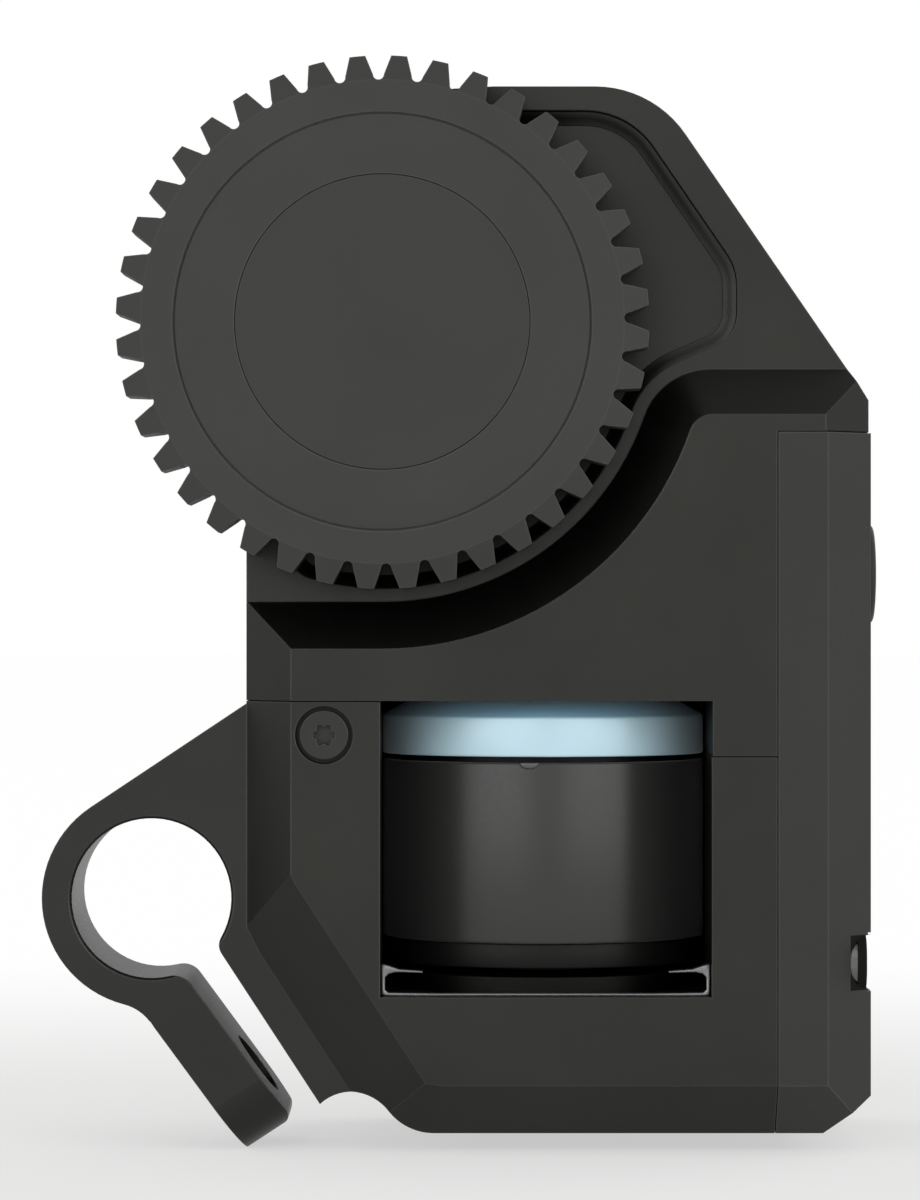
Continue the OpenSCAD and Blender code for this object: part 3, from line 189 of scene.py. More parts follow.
def surface(
    name,
    colour,
    metallic,
    roughness,
    grain,
    grain_depth,
    ior=1.5,
    wear_and_glint=0.0,
    turning=None,
    specular=0.5,
    sheen=0.0,
):
    """A finish with a fine grain, a slow drift of tone, and rounded edges that catch light and are painted
    paler, as rubbing and as a painted highlight.

    grain and grain_depth are in millimetres. turning is the spacing of turning marks along Z, or None.
    wear is how far the edges go towards their paler colour, which paints edge rubbing and a highlight.
    """
    finish = bpy.context.scene.focus_finish
    drift, rough_spread, rubbed_glint_gain, rubbed_glint_lift, stretch, white_share = 9, 0.04, 3.2, 0.02, 0.02, 0.6
    material, tree, output = blank(name)
    place = put(tree, "ShaderNodeTexCoord").outputs["Object"]
    fine = put(
        tree,
        "ShaderNodeTexNoise",
        {"Vector": place, "Scale": 1 / (grain * MM), "Detail": 2.0, "Roughness": 0.6},
    ).outputs["Fac"]
    slow = put(
        tree,
        "ShaderNodeTexNoise",
        {"Vector": place, "Scale": 1 / (drift * MM), "Detail": 3.0, "Roughness": 0.5},
    ).outputs["Fac"]

    # The edges are where the rounded normal leans away from the flat one
    rounded = put(tree, "ShaderNodeBevel", {"Radius": finish.edge_round}, samples=4).outputs["Normal"]
    flat = put(tree, "ShaderNodeNewGeometry").outputs["Normal"]
    lean = put(tree, "ShaderNodeVectorMath", {0: rounded, 1: flat}, operation="DOT_PRODUCT").outputs["Value"]
    edge = put(
        tree,
        "ShaderNodeMapRange",
        {"Value": lean, "From Min": 0.995, "From Max": 0.86, "To Min": 0.0, "To Max": wear_and_glint},
    ).outputs["Result"]
    tone = put(
        tree,
        "ShaderNodeMapRange",
        {"Value": slow, "From Min": 0.3, "From Max": 0.7, "To Min": 0.94, "To Max": 1.06},
    ).outputs["Result"]
    drifted = put(
        tree,
        "ShaderNodeMix",
        {"Factor": 1.0, "A": rgba(colour), "B": tone},
        data_type="RGBA",
        blend_type="MULTIPLY",
    )
    # The edges go towards this paler colour: partly wear, partly a painted highlight along rounded edges and
    # creases
    rubbed_and_glint_colour = [min(1.0, c * rubbed_glint_gain + rubbed_glint_lift) for c in colour]
    worn_and_glinting = put(
        tree,
        "ShaderNodeMix",
        {"Factor": edge, "A": drifted.outputs["Result"], "B": rgba(rubbed_and_glint_colour)},
        data_type="RGBA",
    )
    rough = put(
        tree,
        "ShaderNodeMapRange",
        {
            "Value": fine,
            "From Min": 0.3,
            "From Max": 0.7,
            "To Min": roughness - rough_spread,
            "To Max": roughness + rough_spread,
        },
    ).outputs["Result"]

    height = fine
    if turning:
        marks = put(
            tree,
            "ShaderNodeMapping",
            {"Vector": place, "Scale": (stretch, stretch, 1.0)},
            vector_type="POINT",
        ).outputs["Vector"]
        height = put(
            tree, "ShaderNodeTexNoise", {"Vector": marks, "Scale": 1 / (turning * MM), "Detail": 1.0}
        ).outputs["Fac"]
    bump = put(
        tree,
        "ShaderNodeBump",
        {"Height": height, "Normal": rounded, "Strength": 0.5, "Distance": grain_depth * MM},
    ).outputs["Normal"]
    shader = put(
        tree,
        "ShaderNodeBsdfPrincipled",
        {
            "Base Color": worn_and_glinting.outputs["Result"],
            "Metallic": metallic,
            "Roughness": rough,
            "IOR": ior,
            "Specular IOR Level": specular,
            "Sheen Weight": sheen,
            "Sheen Roughness": 0.45,
            "Sheen Tint": rgba([white_share + (1 - white_share) * c for c in colour]),
            "Normal": bump,
        },
    )
    tree.links.new(shader.outputs["BSDF"], output.inputs["Surface"])
    return material


def dress(material, *nodes):
    """Gives CAD nodes a material. Their meshes stay as they are."""
    for name in nodes:
        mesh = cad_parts[name].data
        if not mesh.materials:
            mesh.materials.append(material)
        for i in range(len(mesh.materials)):
            mesh.materials[i] = material


def deselect():
    """An operator acts on all that is selected, and the frame leaves the CAD nodes selected."""
    if bpy.context.object and bpy.context.object.mode != "OBJECT":
        bpy.ops.object.mode_set(mode="OBJECT")
    bpy.ops.object.select_all(action="DESELECT")


def apply_modifier(piece, kind, **settings):
    """Adds one modifier and applies it."""
    modifier = piece.modifiers.new(kind.title(), kind)
    for name, value in settings.items():
        setattr(modifier, name, value)
    bpy.ops.object.modifier_apply(modifier=modifier.name)


def settle(piece, name, body, material, replaced=()):
    """Names a finished piece, puts its place in its mesh, and lets it ride on its body."""
    piece.name = name
    piece.data.name = name
    bpy.context.view_layer.objects.active = piece
    piece.select_set(True)
    bpy.ops.object.transform_apply(location=True, rotation=True, scale=True)
    bpy.ops.object.shade_smooth_by_angle(angle=math.radians(32))
    piece.data.materials.clear()
    piece.data.materials.append(material)
    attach(piece, body)
    if replaced:
        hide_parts(*replaced)
    deselect()
    return piece


def drawn(points, filled):
    """A new object, left in Edit Mode, that holds one closed outline of points in millimetres.

    The outline is a ring of edges, or one face where it is filled, and it is all selected.
    """
    deselect()
    bpy.ops.mesh.primitive_plane_add(size=MM, location=(0, 0, 0))
    piece = bpy.context.object
    bpy.ops.object.mode_set(mode="EDIT")
    bpy.ops.mesh.select_all(action="SELECT")
    bpy.ops.mesh.delete(type="VERT")
    shape = bmesh.from_edit_mesh(piece.data)
    corners = [shape.verts.new([c * MM for c in point]) for point in points]
    if filled:
        shape.faces.new(corners)
    else:
        for a, b in zip(corners, corners[1:] + corners[:1]):
            shape.edges.new((a, b))
    bmesh.update_edit_mesh(piece.data)
    bpy.ops.mesh.select_all(action="SELECT")
    return piece


def turned(outline, steps=128):
    """A closed outline of radius and height, in millimetres, spun round the motor's axis."""
    x, y = MOTOR
    piece = drawn([(x + radius, y, z) for radius, z in outline], filled=False)
    bpy.ops.mesh.spin(steps=steps, angle=2 * math.pi, center=(x * MM, y * MM, 0), axis=(0, 0, 1))
    bpy.ops.mesh.select_all(action="SELECT")
    bpy.ops.mesh.remove_doubles(threshold=WELD)
    bpy.ops.mesh.normals_make_consistent(inside=False)
    bpy.ops.object.mode_set(mode="OBJECT")
    return piece


def rings_joined(shape, near, far):
    """Joins two rings that have the same number of vertices by a band of faces."""
    for i in range(len(near)):
        j = (i + 1) % len(near)
        shape.faces.new((near[i], near[j], far[j], far[i]))


def built(shape, name):
    """An object from a shape whose faces were made one by one, with its normals outward."""
    bmesh.ops.remove_doubles(shape, verts=shape.verts, dist=WELD)
    bmesh.ops.recalc_face_normals(shape, faces=shape.faces)
    mesh = bpy.data.meshes.new(name)
    shape.to_mesh(mesh)
    shape.free()
    piece = bpy.data.objects.new(name, mesh)
    bpy.context.collection.objects.link(piece)
    deselect()
    return piece


class FOCUS_OT_housings(bpy.types.Operator):
    """Anodises the two housings and the rear cover"""

    bl_idname = "focus.housings"
    bl_label = "Housings"

    def execute(self, context):
        finish = context.scene.focus_finish
        grit = finish.grit / MM
        # Blasted and anodised aluminium: a deep charcoal with no mirror, which dims as a face turns away
        housing = surface("anodised_aluminium_charcoal", finish.housing, 1.0, 0.4, grit, 0.01, wear_and_glint=0.6)
        dress(housing, "gearbox_housing", "clamp_housing")
        # The same finish, a shade darker and duller
        rear = surface("anodised_aluminium_rear", finish.rear, 1.0, 0.42, grit, 0.01, wear_and_glint=0.6)
        dress(rear, "rear_cover")
        return {"FINISHED"}


class FOCUS_OT_mouldings(bpy.types.Operator):
    """Gives the side cover, button, drive gear and cap their moulded plastics"""

    bl_idname = "focus.mouldings"
    bl_label = "Mouldings"

    def execute(self, context):
        finish = context.scene.focus_finish
        # Glass-filled nylon with a spark-eroded texture: a little lighter than the metal beside it
        nylon = "glass_filled_nylon_cover"
        # Its edges get the strongest paler edge colour: a painted highlight along the bevel's crease, with
        # some wear
        cover = surface(nylon, finish.cover, 0.0, 0.6, 0.2, 0.014, ior=1.53, wear_and_glint=1.0, specular=0.25)
        dress(cover, "side_cover", "side_button")
        # Acetal, moulded and left dull: its tooth tips are painted a little brighter, as wear and as a
        # painted highlight
        gear = surface("acetal_gear", finish.gear, 0.0, 0.6, 0.22, 0.01, ior=1.48, wear_and_glint=0.6, specular=0.25)
        dress(gear, "drive_gear")
        cap = surface("acetal_cap", finish.cap, 0.0, 0.58, 0.25, 0.006, ior=1.48, wear_and_glint=0.3, specular=0.25)
        dress(cap, "gear_cap")
        return {"FINISHED"}


class FOCUS_OT_metalwork(bpy.types.Operator):
    """Finishes the shafts, wheels, bearings, screws and port shell"""

    bl_idname = "focus.metalwork"
    bl_label = "Metalwork"

    def execute(self, context):
        # Ground steel: bright, with a short soft streak
        steel = surface("ground_steel", linear("#b8b8ba"), 1.0, 0.28, 0.12, 0.003, wear_and_glint=0.1, turning=0.09)
        dress(steel, "gear_screw", "output_shaft", "layshaft", "motor_shaft", "motor_screws")
        # Hobbed brass: warm, with fine cutter marks
        brass = surface("hobbed_brass", linear("#c9a961"), 1.0, 0.3, 0.14, 0.004, wear_and_glint=0.15)
        dress(brass, "output_wheel", "layshaft_pinion", "crown_wheel", "motor_pinion")
        # Bearing steel: polished rings with dull shields
        bearing = surface("bearing_steel", linear("#adadaf"), 1.0, 0.2, 0.15, 0.002, wear_and_glint=0.1)
        dress(bearing, "output_bearings", "layshaft_bearings", "motor_bearings", "retaining_ring")
        # Black oxide on steel screws: nearly as dark as the housing, with a thin glint painted on the head's
        # rim as wear and highlight
        oxide = surface("black_oxide_steel", linear("#3a3a39"), 1.0, 0.38, 0.12, 0.004, wear_and_glint=0.6)
        dress(oxide, "housing_screws", "rear_cover_screws", "side_cover_screws")
        # Sintered magnets under bright nickel
        nickel = surface("nickel_plated_magnets", linear("#b9babc"), 1.0, 0.24, 0.2, 0.002, wear_and_glint=0.1)
        dress(nickel, "rotor_magnets")
        # Drawn steel under dull nickel: a pale grey crescent in the port's dark notch
        shell = surface("nickel_plated_shell", linear("#666664"), 1.0, 0.34, 0.2, 0.004, wear_and_glint=0.1)
        dress(shell, "usb_socket")
        return {"FINISHED"}


class FOCUS_OT_electronics(bpy.types.Operator):
    """Finishes the board, the switch and the motor's windings and core"""

    bl_idname = "focus.electronics"
    bl_label = "Electronics"

    def execute(self, context):
        # Solder mask over copper: a wet green with a fine weave under it
        board = surface("green_solder_mask", linear("#1f4a33"), 0.0, 0.34, 0.3, 0.006, ior=1.55, wear_and_glint=0.2)
        dress(board, "circuit_board")
        # Heat-proof moulded plastic
        switch = surface("moulded_lcp_grey", linear("#595a5d"), 0.0, 0.5, 0.2, 0.008, ior=1.6, wear_and_glint=0.2)
        dress(switch, "push_switch")
        plunger = surface("moulded_lcp_black", linear("#262626"), 0.0, 0.45, 0.2, 0.006, ior=1.6, wear_and_glint=0.2)
        dress(plunger, "switch_plunger")
        # Punched silicon steel, whose sheet edges show as lines
        sheets = linear("#6a6a6c")
        core = surface("silicon_steel_laminations", sheets, 1.0, 0.42, 0.2, 0.02, wear_and_glint=0.2, turning=0.35)
        dress(core, "stator_core")
        # Enamelled copper wire, whose turns show as lines
        copper = surface("enamelled_copper", linear("#b86a2c"), 1.0, 0.32, 0.2, 0.03, wear_and_glint=0.1, turning=0.3)
        dress(copper, "stator_windings")
        return {"FINISHED"}


class FOCUS_OT_rotor(bpy.types.Operator):
    """Turns the rotor's can and its blue ring, with rounded edges and the gap between them"""

    bl_idname = "focus.rotor"
    bl_label = "Rotor"

    def execute(self, context):
        finish = context.scene.focus_finish
        sizes = context.scene.focus_pieces
        low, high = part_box("rotor_can")
        radius = (high.x - low.x) / 2 / MM
        foot, seat = low.z / MM, high.z / MM
        gap = sizes.can_gap / MM
        rim_height, rim_in, wall, neck, lap = 1.6, 0.3, 0.55, 0.5, 0.02
        edges = {"width": sizes.rotor_round, "limit_method": "ANGLE"}
        skirt = foot + rim_height
        inner = radius - wall
        can = turned([(radius, seat - gap), (radius, skirt), (inner, skirt), (inner, seat - gap)])
        apply_modifier(can, "BEVEL", segments=3, angle_limit=0.6, **edges)
        # Satin black over turned steel: broad soft bands of light stand along its length
        lathe = {"wear_and_glint": 0.5, "turning": 0.2}
        satin = surface("satin_black_steel", finish.can, 0.25, 0.33, 0.3, 0.002, sheen=0.3, **lathe)
        settle(can, "rotor_shell", "rotor", satin, ["rotor_can"])
        rim = turned([(radius - rim_in, skirt), (radius - rim_in, foot), (inner, foot), (inner, skirt)])
        apply_modifier(rim, "BEVEL", segments=2, angle_limit=0.6, **edges)
        # The rim under the can is left darker and duller; the same colour also paints the shade in the gap
        # under the blue ring
        dull_rim_and_gap_shade = surface("dull_black_rim_and_gap_shade", finish.rim, 0.35, 0.45, 0.25, 0.004, wear_and_glint=0.2, specular=0.2)
        settle(rim, "rotor_rim", "rotor", dull_rim_and_gap_shade)
        # The blue ring sits on a waisted neck that joins it to the can, and only shows as a black line: the
        # neck's near-black colour paints the gap's shade
        waist = inner - neck
        collar = turned(
            [
                (inner + lap, seat + gap),
                (waist, seat),
                (waist, seat - gap),
                (inner + lap, seat - 2 * gap),
                (waist - wall, seat - 2 * gap),
                (waist - wall, seat + gap),
            ]
        )
        settle(collar, "rotor_neck", "rotor", dull_rim_and_gap_shade)

        low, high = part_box("rotor_ring")
        seat, crown = low.z / MM, high.z / MM
        ring_height, cone_run, cone_rise, hub, shaft, plate = 2.5, 2.2, 1.2, 3.4, 1.5, 1.2
        shoulder = seat + ring_height
        ring = turned(
            [
                (radius, seat),
                (radius, shoulder),
                (radius - cone_run, shoulder + cone_rise),
                (hub, crown),
                (shaft, crown),
                (shaft, seat),
                (hub, seat),
                (hub, crown - plate),
                (inner, shoulder - plate),
                (inner, seat),
            ]
        )
        apply_modifier(ring, "BEVEL", segments=3, angle_limit=0.3, **edges)
        # Light blue anodising, given a paler colour as a painted light on the lit band: bright across the
        # band, with soft glints painted on its edges as wear and highlight
        lathe = {"wear_and_glint": 0.4, "turning": 0.25}
        blue = surface("anodised_aluminium_blue", finish.ring, 0.1, 0.36, 0.3, 0.002, sheen=0.8, **lathe)
        settle(ring, "rotor_blue_ring", "rotor", blue, ["rotor_ring"])
        # The faces that look up get a deeper blue copy of the same anodising: painted shade where little
        # light falls on them
        shaded = "anodised_aluminium_blue_painted_shade"
        painted_shade_blue = surface(shaded, finish.cone, 0.0, 0.36, 0.3, 0.002, sheen=1.0, **lathe)
        ring.data.materials.append(painted_shade_blue)
        upward = 0.6
        for face in ring.data.polygons:
            face.material_index = int(face.normal.z > upward)
        return {"FINISHED"}


class FOCUS_OT_bracket(bpy.types.Operator):
    """Cuts the thin silver bracket that shows at the motor window's lower corners"""

    bl_idname = "focus.bracket"
    bl_label = "Mount bracket"

    def execute(self, context):
        finish = context.scene.focus_finish
        depth = context.scene.focus_pieces.bracket_depth
        # The base is given a near-black colour, and shows only as a dark band under the rotor
        base = surface("near_black_base", finish.mount, 1.0, 0.5, 0.2, 0.008, wear_and_glint=0.3)
        dress(base, "motor_mount")
        front, edge_width = -7.6, 0.05
        # The right half, as distance from the motor's axis and height, from its foot round and back
        half = [
            (10.42, -6.08),
            (10.42, -4.06),
            (10.0, -4.16),
            (9.3, -4.4),
            (7.8, -4.52),
            (7.8, -4.6),
            (9.5, -4.56),
            (9.95, -4.66),
            (10.2, -4.9),
            (10.22, -5.7),
            (10.0, -5.88),
            (7.0, -5.93),
        ]
        outline = half + [(-x, z) for x, z in reversed(half)]
        piece = drawn([(MOTOR[0] + x, front, z) for x, z in outline], filled=True)
        bpy.ops.mesh.extrude_region_move(TRANSFORM_OT_translate={"value": (0, depth, 0)})
        bpy.ops.mesh.select_all(action="SELECT")
        bpy.ops.mesh.normals_make_consistent(inside=False)
        bpy.ops.object.mode_set(mode="OBJECT")
        edges = {"segments": 2, "limit_method": "ANGLE", "angle_limit": 0.3}
        apply_modifier(piece, "BEVEL", width=edge_width * MM, **edges)
        # Bare machined aluminium: the only bright silver in the window
        silver = surface("machined_aluminium", linear("#838485"), 1.0, 0.3, 0.2, 0.004, wear_and_glint=0.2)
        settle(piece, "mount_bracket", "housing", silver)
        return {"FINISHED"}


class FOCUS_OT_tab(bpy.types.Operator):
    """Presses the ring's tab over the can's top edge, a little left of the middle"""

    bl_idname = "focus.tab"
    bl_label = "Ring tab"

    def execute(self, context):
        sizes = context.scene.focus_pieces
        # How far the tab stands left of the axis and in front of it, as shares of the rotor's radius,
        # and how far its ball is flattened along X, Y and Z
        left_share, front_share, flat_shares = 0.098, 0.995, (1.0, 0.3, 0.62)
        low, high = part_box("rotor_can")
        radius = (high.x - low.x) / 2
        top = high.z - sizes.can_gap
        deselect()
        bpy.ops.mesh.primitive_uv_sphere_add(segments=24, ring_count=12, radius=sizes.tab_width / 2)
        tab = bpy.context.object
        tab.scale = flat_shares
        tab.location = (MOTOR[0] * MM - left_share * radius, MOTOR[1] * MM - front_share * radius, top)
        bpy.ops.object.transform_apply(location=True, rotation=True, scale=True)
        bpy.ops.object.mode_set(mode="EDIT")
        bpy.ops.mesh.select_all(action="SELECT")
        bpy.ops.mesh.bisect(plane_co=(0, 0, top), plane_no=(0, 0, 1), clear_outer=True, use_fill=True)
        bpy.ops.object.mode_set(mode="OBJECT")
        settle(tab, "ring_tab", "rotor", bpy.data.materials["nickel_plated_shell"])
        return {"FINISHED"}


def rounded(before, corner, after, radius, steps=10):
    """A rounded inside corner, as points with the direction into the pocket."""
    before, corner, after = Vector(before), Vector(corner), Vector(after)
    ahead, onward = (corner - before).normalized(), (after - corner).normalized()
    inward, last = Vector((ahead.y, -ahead.x)), Vector((onward.y, -onward.x))
    centre = corner - ahead * radius * math.tan(ahead.angle(onward) / 2) + inward * radius
    ways = [inward.slerp(last, i / steps) for i in range(steps + 1)]
    return [(centre - way * radius, way) for way in ways]


def arc(centre, radius, start, end, side, steps):
    """An arc of the pocket's wall. side is 1 where the pocket lies outside the circle, and -1 inside it."""
    ways = []
    for i in range(steps + 1):
        a = math.radians(start + (end - start) * i / steps)
        ways.append(Vector((math.cos(a), math.sin(a))))
    return [(Vector(centre) + way * radius, way * side) for way in ways]


def pocket_path():
    """The whole wall of the gear pocket in the front view, clockwise from its top left."""
    top, right, left = 50.32, 37.4, 8.87
    start_round, high_round, side_round, low_round = 1.2, 5.3, 3.5, 2.5
    # The housing's slanted shoulder starts at its foot, and the pocket's wall runs a wall's width inside it
    shoulder, shoulder_foot, shoulder_wall = math.radians(34.5), (45.8, 31.8), 2.13
    reach = shoulder_foot[0] * math.cos(shoulder) + shoulder_foot[1] * math.sin(shoulder) - shoulder_wall
    high = ((reach - top * math.sin(shoulder)) / math.cos(shoulder), top)
    side = (right, (reach - right * math.cos(shoulder)) / math.sin(shoulder))
    # The bend turns round from the side's foot, and then the wall follows the gear to the left corner
    bend, bend_radius, leave, meet = (35.71, 29.3), 5.35, 113, 160.88
    foot = arc(bend, bend_radius, leave, meet, 1, 1)[0][0]
    low = (right, foot.y + (right - foot.x) * math.tan(math.radians(leave - 90)))
    gear_radius, corner, corner_radius, turn = 16.75, (10.65, 22.165), 1.8, -106.21
    waist, start = (left, GEAR[1]), (GEAR[0], top)
    path = rounded(waist, start, high, start_round)
    path += rounded(start, high, side, high_round)
    path += rounded(high, side, low, side_round)
    path += rounded(side, low, foot, low_round)
    path += arc(bend, bend_radius, leave, meet, side=1, steps=10)
    path += arc(GEAR, gear_radius, meet - 180, turn, side=-1, steps=30)
    path += arc(corner, corner_radius, turn, -180, side=-1, steps=8)
    return path + rounded((left, corner[1]), waist, start, start_round, steps=3)


class FOCUS_OT_slope(bpy.types.Operator):
    """Runs the slope inside the gear pocket's wall, down to its floor"""

    bl_idname = "focus.slope"
    bl_label = "Pocket slope"

    def execute(self, context):
        width = context.scene.focus_pieces.slope_width / MM
        floor, rise, sink = -4.0, 0.36, 0.3
        # How far in and how high the two points of the slightly hollow slope are
        hollow_shares = [(0.45, 0.48), (0.8, 0.12)]
        # Distance in from the wall and place along Y, with the back sunk in the housing
        profile = [(-sink, floor + sink), (-sink, floor - rise), (0, floor - rise)]
        profile += [(width * across, floor - rise * up) for across, up in hollow_shares]
        profile += [(width, floor), (width, floor + sink)]
        # No operator sweeps a profile along a path that has a side to it, so the rings are joined here
        shape = bmesh.new()
        rings = []
        for place, way in pocket_path():
            ring = []
            for inward, y in profile:
                across = place + way * inward
                ring.append(shape.verts.new(across.to_3d().xzy * MM + Vector((0, y * MM, 0))))
            rings.append(ring)
        for near, far in zip(rings, rings[1:] + rings[:1]):
            rings_joined(shape, near, far)
        piece = built(shape, "pocket_slope")
        anodised = bpy.data.materials["anodised_aluminium_charcoal"]
        settle(piece, "pocket_slope", "housing", anodised)
        return {"FINISHED"}


def port_corner(up, radius, edge, flat, steps=12):
    """A rounded corner of the port's end along Y and Z, at its top where up is 1 and its bottom at -1."""
    points = []
    for i in range(steps + 1):
        a = math.pi / 2 * i / steps
        points.append((edge - radius * math.cos(a), PORT[1] + up * (flat + radius * math.sin(a))))
    return points


def prism(shape, near, far):
    """Joins two matching outlines, in millimetres, into a closed solid."""
    near, far = ([shape.verts.new(Vector(point) * MM) for point in outline] for outline in (near, far))
    shape.faces.new(near)
    shape.faces.new(far)
    rings_joined(shape, near, far)


class FOCUS_OT_contacts(bpy.types.Operator):
    """Lays the gold contacts on both faces of the port's tongue"""

    bl_idname = "focus.contacts"
    bl_label = "Port contacts"

    def execute(self, context):
        width = context.scene.focus_pieces.contact_width
        half_tongue, pitch, count = 0.3, 0.5, 12
        length, thickness, end, edge_width = 2.6, 0.05, 44.4, 0.02
        # A contact's middle stands this share of its thickness above the tongue, so its back is sunk in it
        lift_share = 1 / 3
        deselect()
        bpy.ops.mesh.primitive_cube_add(size=1, location=(0, 0, 0))
        strip = bpy.context.object
        strip.scale = (length * MM, width, thickness * MM)
        bpy.ops.object.transform_apply(location=False, rotation=False, scale=True)
        edges = {"segments": 2, "limit_method": "ANGLE", "angle_limit": 0.5}
        apply_modifier(strip, "BEVEL", width=edge_width * MM, **edges)
        made = [strip]
        for _ in range(2 * count - 1):
            piece = strip.copy()
            piece.data = strip.data.copy()
            context.collection.objects.link(piece)
            made.append(piece)
        for i, piece in enumerate(made):
            row, column = divmod(i, count)
            side = 2 * row - 1
            piece.location = (
                (end - length / 2) * MM,
                (PORT[0] + (column - (count - 1) / 2) * pitch) * MM,
                (PORT[1] + side * (half_tongue + thickness * lift_share)) * MM,
            )
            piece.select_set(True)
        context.view_layer.objects.active = strip
        bpy.ops.object.join()
        # Gold over nickel: a thin warm line on each contact
        gold = surface("gold_plated_contacts", linear("#d9b25a"), 1.0, 0.22, 0.2, 0.001, wear_and_glint=0.1)
        settle(strip, "port_contacts", "housing", gold)
        return {"FINISHED"}


class FOCUS_OT_shade_sheet(bpy.types.Operator):
    """Lays thin black lips on the cover's bevel and a band round the shell: dark sheets that paint the shade
    of the port's recess
    """

    bl_idname = "focus.gasket"
    bl_label = "Port gasket"

    def execute(self, context):
        # The cover's bevel runs back from its flat side at edge, run along X over rise along Y
        flat_side, edge, run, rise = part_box("side_cover")[1].x / MM, -5.6, 2.93, 3.0
        radius, half, proud, sunk = 1.42, 1.75, 0.015, 0.08
        play, shade_black_wall, mouth, front = 0.02, 0.14, 45.02, 45.6
        flat = half - radius
        # The lips follow the bevel point by point, so they are joined here, and the band with them
        shape = bmesh.new()
        for up in (-1, 1):
            outline = [(edge - radius, PORT[1] + up * half)] + port_corner(up, radius, edge, flat)
            layers = []
            for lift in (proud, -sunk):
                slide = flat_side + lift
                layers.append([(slide + (y - edge) * run / rise, y - lift, z) for y, z in outline])
            prism(shape, *layers)
        outer, inner = (
            port_corner(-1, size, edge, flat)[::-1] + port_corner(1, size, edge, flat)
            for size in (radius - play, radius - shade_black_wall)
        )
        outline = outer + inner[::-1]
        prism(shape, [(mouth, y, z) for y, z in outline], [(front, y, z) for y, z in outline])
        gasket = built(shape, "port_shade_sheet")
        # A dead black with no gloss: painted shade in the port's recess
        shade_black = surface("painted_shade_black", linear("#111110"), 0.0, 0.85, 0.2, 0.006, ior=1.52, specular=0.15)
        settle(gasket, "port_shade_sheet", "housing", shade_black)
        return {"FINISHED"}


def seen_rays(tree):
    """One for camera, glossy and transmission rays and zero for others, and the camera rays alone."""
    path = put(tree, "ShaderNodeLightPath")
    camera_ray = path.outputs["Is Camera Ray"]
    seen = camera_ray
    for kind in ("Is Glossy Ray", "Is Transmission Ray"):
        seen = put(tree, "ShaderNodeMath", {0: seen, 1: path.outputs[kind]}, operation="MAXIMUM").outputs[0]
    return seen, camera_ray


def blend(tree, output, share, first, second):
    """Mixes two shaders by a share of the second and gives them to the output."""
    mixed = put(tree, "ShaderNodeMixShader", {0: share, 1: first.outputs[0], 2: second.outputs[0]})
    tree.links.new(mixed.outputs[0], output.inputs["Surface"])


def floor_material(studio, middle, foot):
    """A pale floor that shows its shadow near the unit, with a painted shade where its white thins towards
    the unit, and fades to the room's white, with no horizon.
    """
    material, tree, output = blank("pale_floor")
    seen = seen_rays(tree)[0]
    place = put(tree, "ShaderNodeTexCoord").outputs["Object"]
    away = put(
        tree, "ShaderNodeVectorMath", {0: place, 1: (middle.x, middle.y, foot)}, operation="DISTANCE"
    ).outputs["Value"]
    # The white emission thins near the unit, which paints a shade round it over its real shadow
    white_share_painted_shade = put(
        tree,
        "ShaderNodeMapRange",
        {"Value": away, "From Min": 0.03, "From Max": 0.18, "To Min": 0.55, "To Max": 0.985},
        interpolation_type="SMOOTHSTEP",
    ).outputs["Result"]
    share = put(tree, "ShaderNodeMath", {0: seen, 1: white_share_painted_shade}, operation="MULTIPLY").outputs[0]
    lit = put(tree, "ShaderNodeBsdfDiffuse", {"Color": rgba(studio.floor)})
    bright = put(tree, "ShaderNodeEmission", {"Color": (1, 1, 1, 1), "Strength": 1.0})
    blend(tree, output, share, lit, bright)
    return material


def light_room(context, studio):
    """Makes the room white to the camera. In reflections its front wall is white and its ceiling dim."""
    world = context.scene.world or bpy.data.worlds.new("room")
    context.scene.world = world
    world.use_nodes = True
    tree = world.node_tree
    tree.nodes.clear()
    output = tree.nodes.new("ShaderNodeOutputWorld")
    seen, camera_ray = seen_rays(tree)
    way = put(tree, "ShaderNodeTexCoord").outputs["Generated"]
    split = put(tree, "ShaderNodeSeparateXYZ", {"Vector": way})
    steep = put(tree, "ShaderNodeMath", {0: split.outputs["Z"]}, operation="ABSOLUTE").outputs[0]
    dim = put(
        tree,
        "ShaderNodeMapRange",
        {"Value": steep, "From Min": 0.3, "From Max": 0.95, "To Min": 1.0, "To Max": 0.6},
    ).outputs["Result"]
    behind = put(
        tree,
        "ShaderNodeMapRange",
        {"Value": split.outputs["Y"], "From Min": -0.8, "From Max": 0.2, "To Min": 1.0, "To Max": 0.75},
    ).outputs["Result"]
    walls = put(tree, "ShaderNodeMath", {0: dim, 1: behind}, operation="MULTIPLY").outputs[0]
    strength = put(tree, "ShaderNodeMath", {0: walls, 1: camera_ray}, operation="MAXIMUM").outputs[0]
    white = put(tree, "ShaderNodeBackground", {"Color": (1, 1, 1, 1), "Strength": strength})
    fill = put(tree, "ShaderNodeBackground", {"Color": (1, 1, 1, 1), "Strength": studio.fill})
    blend(tree, output, seen, fill, white)


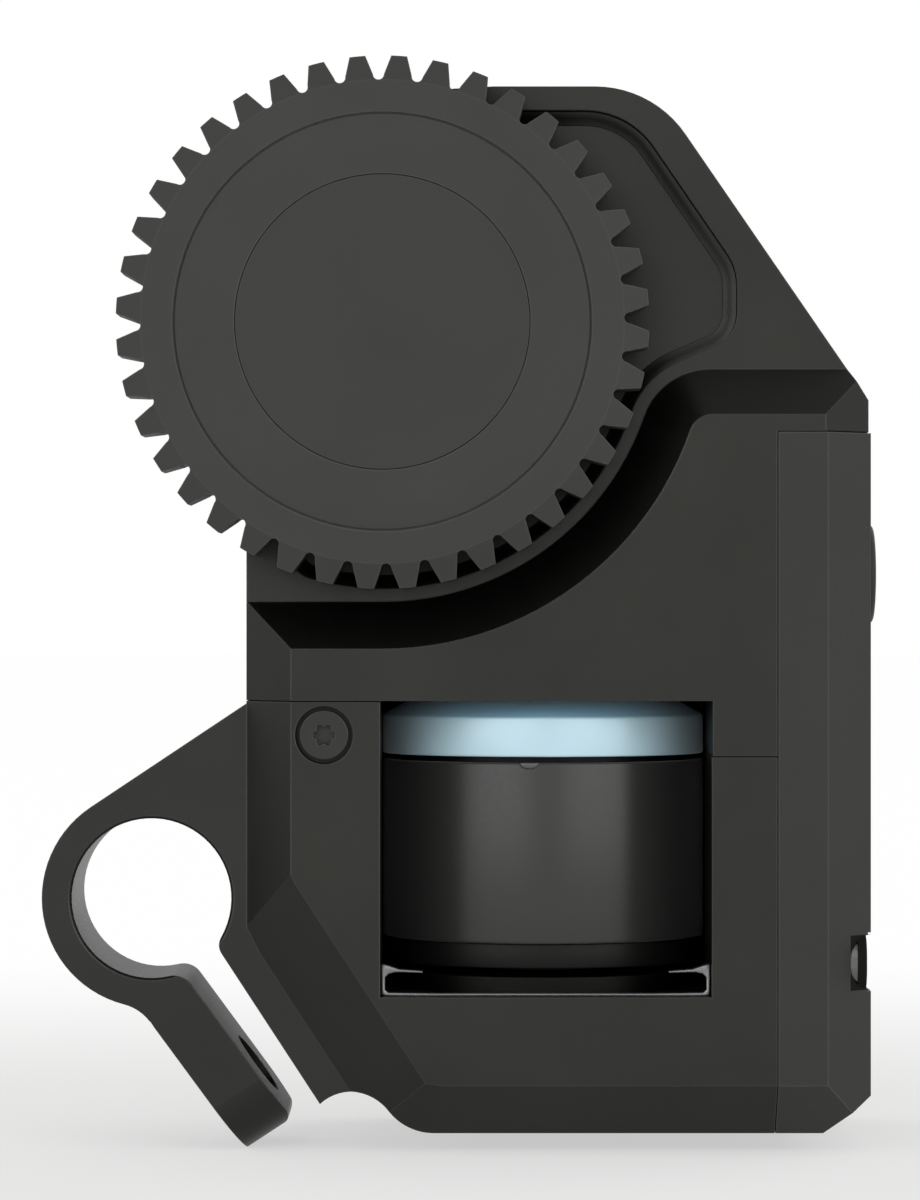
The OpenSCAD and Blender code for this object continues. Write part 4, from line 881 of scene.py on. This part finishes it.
class FOCUS_OT_stage(bpy.types.Operator):
    """Sets the floor, the lamps, the pale room and the camera"""

    bl_idname = "focus.stage"
    bl_label = "Stage"

    def execute(self, context):
        studio = context.scene.focus_studio
        # The floor's radius is in metres, and it lies just below the unit
        # The camera faces the point picture_x, picture_z
        floor_radius, floor_drop, picture_x, picture_z = 3.0, 0.02, 19.71, 19.05
        low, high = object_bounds()
        middle = (low + high) / 2
        ground = low.z - floor_drop * MM
        deselect()
        bpy.ops.mesh.primitive_circle_add(
            vertices=96, radius=floor_radius, fill_type="NGON", location=(0, 0, ground)
        )
        floor = bpy.context.object
        floor.name = "floor"
        bpy.ops.object.transform_apply(location=True, rotation=True, scale=True)
        floor.data.materials.append(floor_material(studio, middle, low.z))
        floor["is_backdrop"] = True

        # Place, width and height in metres. The right front lamp is a little stronger than the left one
        right_share = 1.1
        lamps = [
            ("front_left", (-0.31, -0.54, 0.1), 0.5, 0.6, studio.front_power),
            ("front_right", (0.43, -0.5, 0.16), 0.6, 0.6, studio.front_power * right_share),
            ("rear_left", (-0.5, 0.45, 0.3), 0.6, 0.5, studio.back_power),
            ("rear_right", (0.5, 0.45, 0.3), 0.6, 0.5, studio.back_power),
        ]
        for name, place, wide, tall, power in lamps:
            deselect()
            bpy.ops.object.light_add(type="AREA", location=place)
            lamp = bpy.context.object
            lamp.name = name
            lamp.data.shape = "RECTANGLE"
            lamp.data.size, lamp.data.size_y = wide, tall
            lamp.data.energy = power
            lamp.rotation_euler = (Vector(place) - middle).to_track_quat("Z", "Y").to_euler()
            lamp.visible_camera = False
        light_room(context, studio)

        deselect()
        bpy.ops.object.camera_add(
            location=(picture_x * MM, -studio.distance, picture_z * MM), rotation=(math.pi / 2, 0, 0)
        )
        camera = bpy.context.object
        camera.name = "photo_camera"
        camera.data.lens = studio.lens
        camera.data.clip_start = 0.01
        context.scene.camera = camera
        context.scene.view_settings.view_transform = "Standard"
        return {"FINISHED"}


STEPS = [
    FOCUS_OT_housings,
    FOCUS_OT_mouldings,
    FOCUS_OT_metalwork,
    FOCUS_OT_electronics,
    FOCUS_OT_rotor,
    FOCUS_OT_bracket,
    FOCUS_OT_tab,
    FOCUS_OT_slope,
    FOCUS_OT_contacts,
    FOCUS_OT_shade_sheet,
    FOCUS_OT_stage,
]


class FOCUS_PT_unit(bpy.types.Panel):
    """Lists the unit's finishes, sizes and steps"""

    bl_idname = "FOCUS_PT_unit"
    bl_label = "Follow focus unit"
    bl_space_type = "VIEW_3D"
    bl_region_type = "UI"
    bl_category = "Focus"

    def draw(self, context):
        for group in (context.scene.focus_finish, context.scene.focus_pieces, context.scene.focus_studio):
            box = self.layout.box()
            for name in group.__annotations__:
                box.prop(group, name)
        for step in STEPS:
            self.layout.operator(step.bl_idname)


GROUPS = {"focus_finish": FocusFinish, "focus_pieces": FocusPieces, "focus_studio": FocusStudio}


def register():
    for item in (*GROUPS.values(), *STEPS, FOCUS_PT_unit):
        bpy.utils.register_class(item)
    for name, group in GROUPS.items():
        setattr(bpy.types.Scene, name, bpy.props.PointerProperty(type=group))


def unregister():
    for name in GROUPS:
        delattr(bpy.types.Scene, name)
    for item in reversed((*GROUPS.values(), *STEPS, FOCUS_PT_unit)):
        bpy.utils.unregister_class(item)


def main():
    register()
    bpy.ops.focus.housings()
    bpy.ops.focus.mouldings()
    bpy.ops.focus.metalwork()
    bpy.ops.focus.electronics()
    bpy.ops.focus.rotor()
    bpy.ops.focus.bracket()
    bpy.ops.focus.tab()
    bpy.ops.focus.slope()
    bpy.ops.focus.contacts()
    bpy.ops.focus.gasket()
    bpy.ops.focus.stage()


if __name__ == "__main__":
    main()
